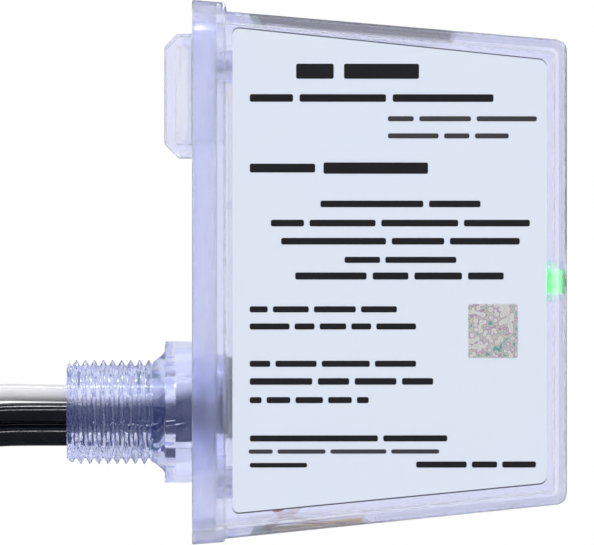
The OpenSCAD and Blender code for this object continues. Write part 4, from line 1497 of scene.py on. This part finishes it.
@dataclass
class CircuitBoard:
    """The board, its tracks and solder joints, and the parts that stand on it. Sizes in millimetres.

    Attributes:
        back: The board's face towards the panel.
        face: The board's face towards the front.
        capacitor_y: Distance of the capacitors from the middle.
        capacitor_legs: Heights of their legs.
        axial_z: Heights of the legs of the resistors and the diode.
        axial_y: Their places across the board, the diode's last.
    """

    back: float = 16.0
    face: float = 17.6
    capacitor_y: float = 22.5
    capacitor_legs: tuple[float, float] = (-7.5, 10.5)
    axial_z: tuple[float, float] = (15.5, 30.5)
    axial_y: tuple[float, ...] = (21.5, 26.5, -26.5, -21.5)

    def tracks(self) -> None:
        """Lays the raised tracks on the back of the board, as one piece."""
        wide = [((-22.5, 10.5), (-22.5, 30.5)), ((22.5, 10.5), (22.5, 15.5)), ((-24.6, 33.0), (-13.2, 64.0)),
                ((-6.0, 33.0), (1.0, 64.0)), ((10.0, 33.0), (17.0, 64.0)), ((-24.6, 64.5), (22.0, 68.5))]
        strips = []
        for number, ((y0, z0), (y1, z1)) in enumerate(wide):
            low = (self.back - 0.07, min(y0, y1) - 0.8, min(z0, z1))
            high = (self.back - 0.005, max(y0, y1) + 0.8, max(z0, z1))
            strips.append(Bench.block(f"track_{number}", low, high, 0.03, 1))
        Bench.dress(Bench.join("board_tracks", strips), Finish.TRACK)

    def joints(self) -> None:
        """Makes one solder joint and copies it to every leg behind the board."""
        spots = [(side * self.capacitor_y, z) for side in (-1, 1) for z in self.capacitor_legs]
        spots += [(y, z) for y in self.axial_y for z in self.axial_z]
        spots += [(y, z) for y in (-12.0, 0.0, 12.0) for z in (20.5, 27.5)]
        back = self.back
        first = Bench.turned("solder_joint", [(back - 0.08, 1.15), (back - 0.2, 1.0), (back - 0.5, 0.62),
                                              (back - 0.9, 0.45), (back - 1.15, 0.25)], sides=20)
        copies = [Bench.duplicate(first, "joint", Matrix.Translation(metres((0.0, y, z)))) for y, z in spots]
        bpy.data.objects.remove(first)
        Bench.dress(Bench.join("solder_joints", copies), Finish.SOLDER)

    def capacitor(self, side: int, node: str) -> None:
        """Makes one film capacitor: a box with softened edges and a recessed resin face, and its two legs."""
        low, high = box_mm(node)
        mid = side * self.capacitor_y
        case = Bench.block("case", (self.face + 0.02, low.y, low.z), (high.x, high.y, high.z), 0.8, 4)
        recess = Bench.block("recess", (self.face - 1, low.y + 1.1, low.z + 1.1),
                             (self.face + 0.5, high.y - 1.1, high.z - 1.1), 0.2)
        Bench.combine(case, recess, "DIFFERENCE")
        legs = [Bench.turned("leg", [(low.x, 0.3), (low.x + 0.1, 0.4), (self.face + 1, 0.4)], mid, z, 24)
                for z in self.capacitor_legs]
        Bench.dress(case, Finish.CAPACITOR, [node])
        case.name = node + "_box"
        Bench.dress(Bench.join(node + "_legs", legs), Finish.SOLDER)

    def axial(self, y: float, radius: float, name: str, finish: Finish, node: str) -> None:
        """Makes a resistor or a diode: a body along Z, its bands, and its bent legs.

        Args:
            y: Its place across the board.
            radius: Radius of its body.
            name: The new pieces' name.
            finish: The body's finish.
            node: The CAD node that it is a part of.
        """
        low, high = self.axial_z
        x = self.face + radius + 0.4
        if finish is Finish.DIODE:
            form = [(2.0, 0.9), (2.15, 1.0), (12.85, 1.0), (13.0, 0.9)]
            bands = [(10.8, 12.0)]
        else:
            form = [(2.0, 0.55), (2.3, 0.92), (2.9, 1.0), (4.6, 1.0), (5.2, 0.86), (9.8, 0.86), (10.4, 1.0),
                    (12.1, 1.0), (12.7, 0.92), (13.0, 0.55)]
            bands = [(3.3, 4.1), (6.0, 6.8), (7.6, 8.4), (11.0, 11.8)]
        body = Bench.turned(name + "_body", [(low + at, radius * share) for at, share in form], x, y, 32, Axis.Z)
        Bench.dress(body, finish, [node])
        for number, (foot, top) in enumerate(bands):
            over = 1.012 if finish is Finish.DIODE or number in (0, 3) else 0.872
            band = Bench.turned(f"{name}_band_{number}", [(low + foot, radius * over), (low + top, radius * over)],
                                x, y, 32, Axis.Z)
            Bench.dress(band, Finish.TIE if finish is Finish.DIODE else BAND_ORDER[number])
        legs = []
        for foot, sense in ((low, 1), (high, -1)):
            line = Bench.smooth_line([
                (15.2, y, foot), (16.5, y, foot), (x - 0.8, y, foot), (x - 0.25, y, foot + sense * 0.2),
                (x, y, foot + sense * 0.8), (x, y, foot + sense * 2.4)])
            legs.append(Bench.as_mesh(Bench.wire("leg", line, 0.6, 3)))
        Bench.dress(Bench.join(name + "_legs", legs), Finish.SOLDER)

    def build(self) -> None:
        """Makes the board and everything on it but the modules."""
        Bench.keep_form("circuit_board", 0.08, Finish.BOARD)
        self.tracks()
        self.joints()
        for node, edge, finish in (("board_screws", 0.12, Finish.STEEL), ("terminal_block", 0.3, Finish.BLOCK),
                                   ("terminal_screws", 0.12, Finish.CLAMP)):
            Bench.keep_form(node, edge, finish)
        self.capacitor(-1, "film_capacitor_left")
        self.capacitor(1, "film_capacitor_right")
        for number, y in enumerate(self.axial_y[:3]):
            self.axial(y, 1.3, f"resistor_{number}", Finish.RESISTOR, "resistors")
        self.axial(self.axial_y[3], 1.4, "diode", Finish.DIODE, "diode")


@dataclass
class Lamp:
    """The indicator behind the front wall, its sleeves and its two thin wires. Sizes in millimetres.

    Attributes:
        dome: Middle of its dome.
        radius: The dome's radius.
        wires: The thin wires' finishes and routes, by their CAD nodes' names.
    """

    dome: float = 74.9
    radius: float = 2.5
    wires: dict[str, tuple[Finish, tuple[Point, ...]]] = field(default_factory=lambda: {
        "led_wire_red": (Finish.RED_WIRE, (
            (18.2, 7, -14.5), (19.6, 7, -16.4), (20.8, 6.9, -18.6), (22.4, 6.8, -19.4), (24.2, 6.6, -18.6),
            (26.5, 6.3, -16.6), (30, 5.8, -13), (35, 5, -7.5), (40, 4.2, -1.5), (45, 3.4, 5), (49.5, 2.6, 11.5),
            (53, 1.9, 17.5), (55.8, 1.5, 22), (58, 1.3, 25), (60.5, 1.27, 26.1), (63, 1.27, 26.2))),
        "led_wire_black": (Finish.BLACK_WIRE, (
            (18.2, 4, -14.5), (20, 4, -15.5), (22.5, 3.8, -15.5), (25.5, 3.4, -14), (30, 2.6, -10.5),
            (35, 1.6, -5.2), (40, 0.6, 0.8), (45, -0.2, 7.2), (49.5, -0.8, 13.5), (53, -1.1, 19),
            (55.8, -1.25, 23), (58.2, -1.27, 25.5), (60.5, -1.27, 26.2), (63, -1.27, 26.2)))})

    def build(self) -> None:
        """Makes the lens, its legs, the sleeves and the wires."""
        arc = [(self.dome + self.radius * math.sin(angle), self.radius * math.cos(angle))
               for angle in (math.radians(step * 10) for step in range(1, 9))]
        lens = Bench.turned("lamp_lens", [(68.8, 2.8), (68.9, 2.9), (69.7, 2.9), (69.8, 2.8), (69.85, 2.5),
                                          (self.dome, self.radius), *arc,
                                          (self.dome + self.radius - 0.005, 0.12)], z=LAMP_Z, sides=48)
        Bench.dress(lens, Finish.LAMP, ["indicator_led"])
        legs = [Bench.block("leg", (63.1, y - 0.25, LAMP_Z - 0.25), (68.95, y + 0.25, LAMP_Z + 0.25), 0.05, 1)
                for y in (-1.27, 1.27)]
        Bench.dress(Bench.join("lamp_legs", legs), Finish.SOLDER)
        Bench.keep_form("led_sleeves", 0.12, Finish.SLEEVE)
        for node, (finish, route) in self.wires.items():
            wire = Bench.as_mesh(Bench.wire(node + "_run", Bench.smooth_line(route), 1.4))
            Bench.dress(wire, finish, [node])


class InnerLeads:
    """The leads from the nipple to the terminals, and the tie that holds them. Sizes in millimetres."""

    @staticmethod
    def build() -> None:
        """Makes the three runs and the tie."""
        for lead in LEADS:
            run = Bench.as_mesh(Bench.wire("inner_" + lead.name + "_run", Bench.smooth_line(lead.inner),
                                           lead.diameter, 6))
            Bench.dress(run, lead.finish, ["inner_" + lead.name])
        Bench.keep_form("inner_tie", 0.25, Finish.TIE)


@dataclass
class Module:
    """One thermally protected varistor: case, lid, varistor, contact arm, solder bead, shield and spring.

    Attributes:
        letter: Its letter.
        turns: The spring's number of turns.
        wire: The spring's wire diameter, in millimetres.
        reach: The spring's mean radius, in millimetres.
    """

    letter: str
    turns: float = 6.5
    wire: float = 0.55
    reach: float = 1.9

    def spring(self) -> None:
        """Winds the spring from its foot to its head, and attaches it to no body."""
        low, high = box_mm("spring_" + self.letter)
        middle = (low + high) / 2
        foot, head = low.z + self.wire / 2, high.z - self.wire / 2
        steps = int(self.turns * 20)
        line = []
        for step in range(steps + 1):
            angle = math.tau * self.turns * step / steps
            rise = min(1.0, max(0.0, (step / steps - 0.08) / 0.84))
            line.append(metres((middle.x + self.reach * math.cos(angle), middle.y + self.reach * math.sin(angle),
                                foot + (head - foot) * rise)))
        coil = Bench.as_mesh(Bench.wire(f"spring_{self.letter}_coil", line, self.wire, 2))
        Bench.dress(coil, Finish.SPRING, ["spring_" + self.letter], None)
        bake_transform(coil)

    def build(self) -> None:
        """Makes the module's pieces, and gives each solder bead a mesh of its own."""
        rows = (("case_", 0.5, Finish.CASE, HOUSING), ("lid_", 0.35, Finish.LID, HOUSING),
                ("varistor_", 0.25, Finish.VARISTOR, HOUSING), ("contact_arm_", 0.1, Finish.BRASS, HOUSING),
                ("arc_shield_", 0.22, Finish.SHIELD, "shield_" + self.letter),
                ("solder_bead_", 0.5, Finish.SOLDER, HOUSING))
        for node, edge, finish, body in rows:
            node += self.letter
            piece = Bench.keep_form(node, edge, finish, body)
            if node.startswith("solder"):
                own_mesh(piece)
        self.spring()


def main() -> None:
    """Builds the object and its studio."""
    logging.basicConfig(level=logging.INFO, format="%(message)s")
    for part in (Studio, Harness, Cover, Nipple, Base, SideLabel, CircuitBoard, Lamp, InnerLeads):
        part().build()
    for letter in "abc":
        Module(letter).build()


if __name__ == "__main__":
    main()
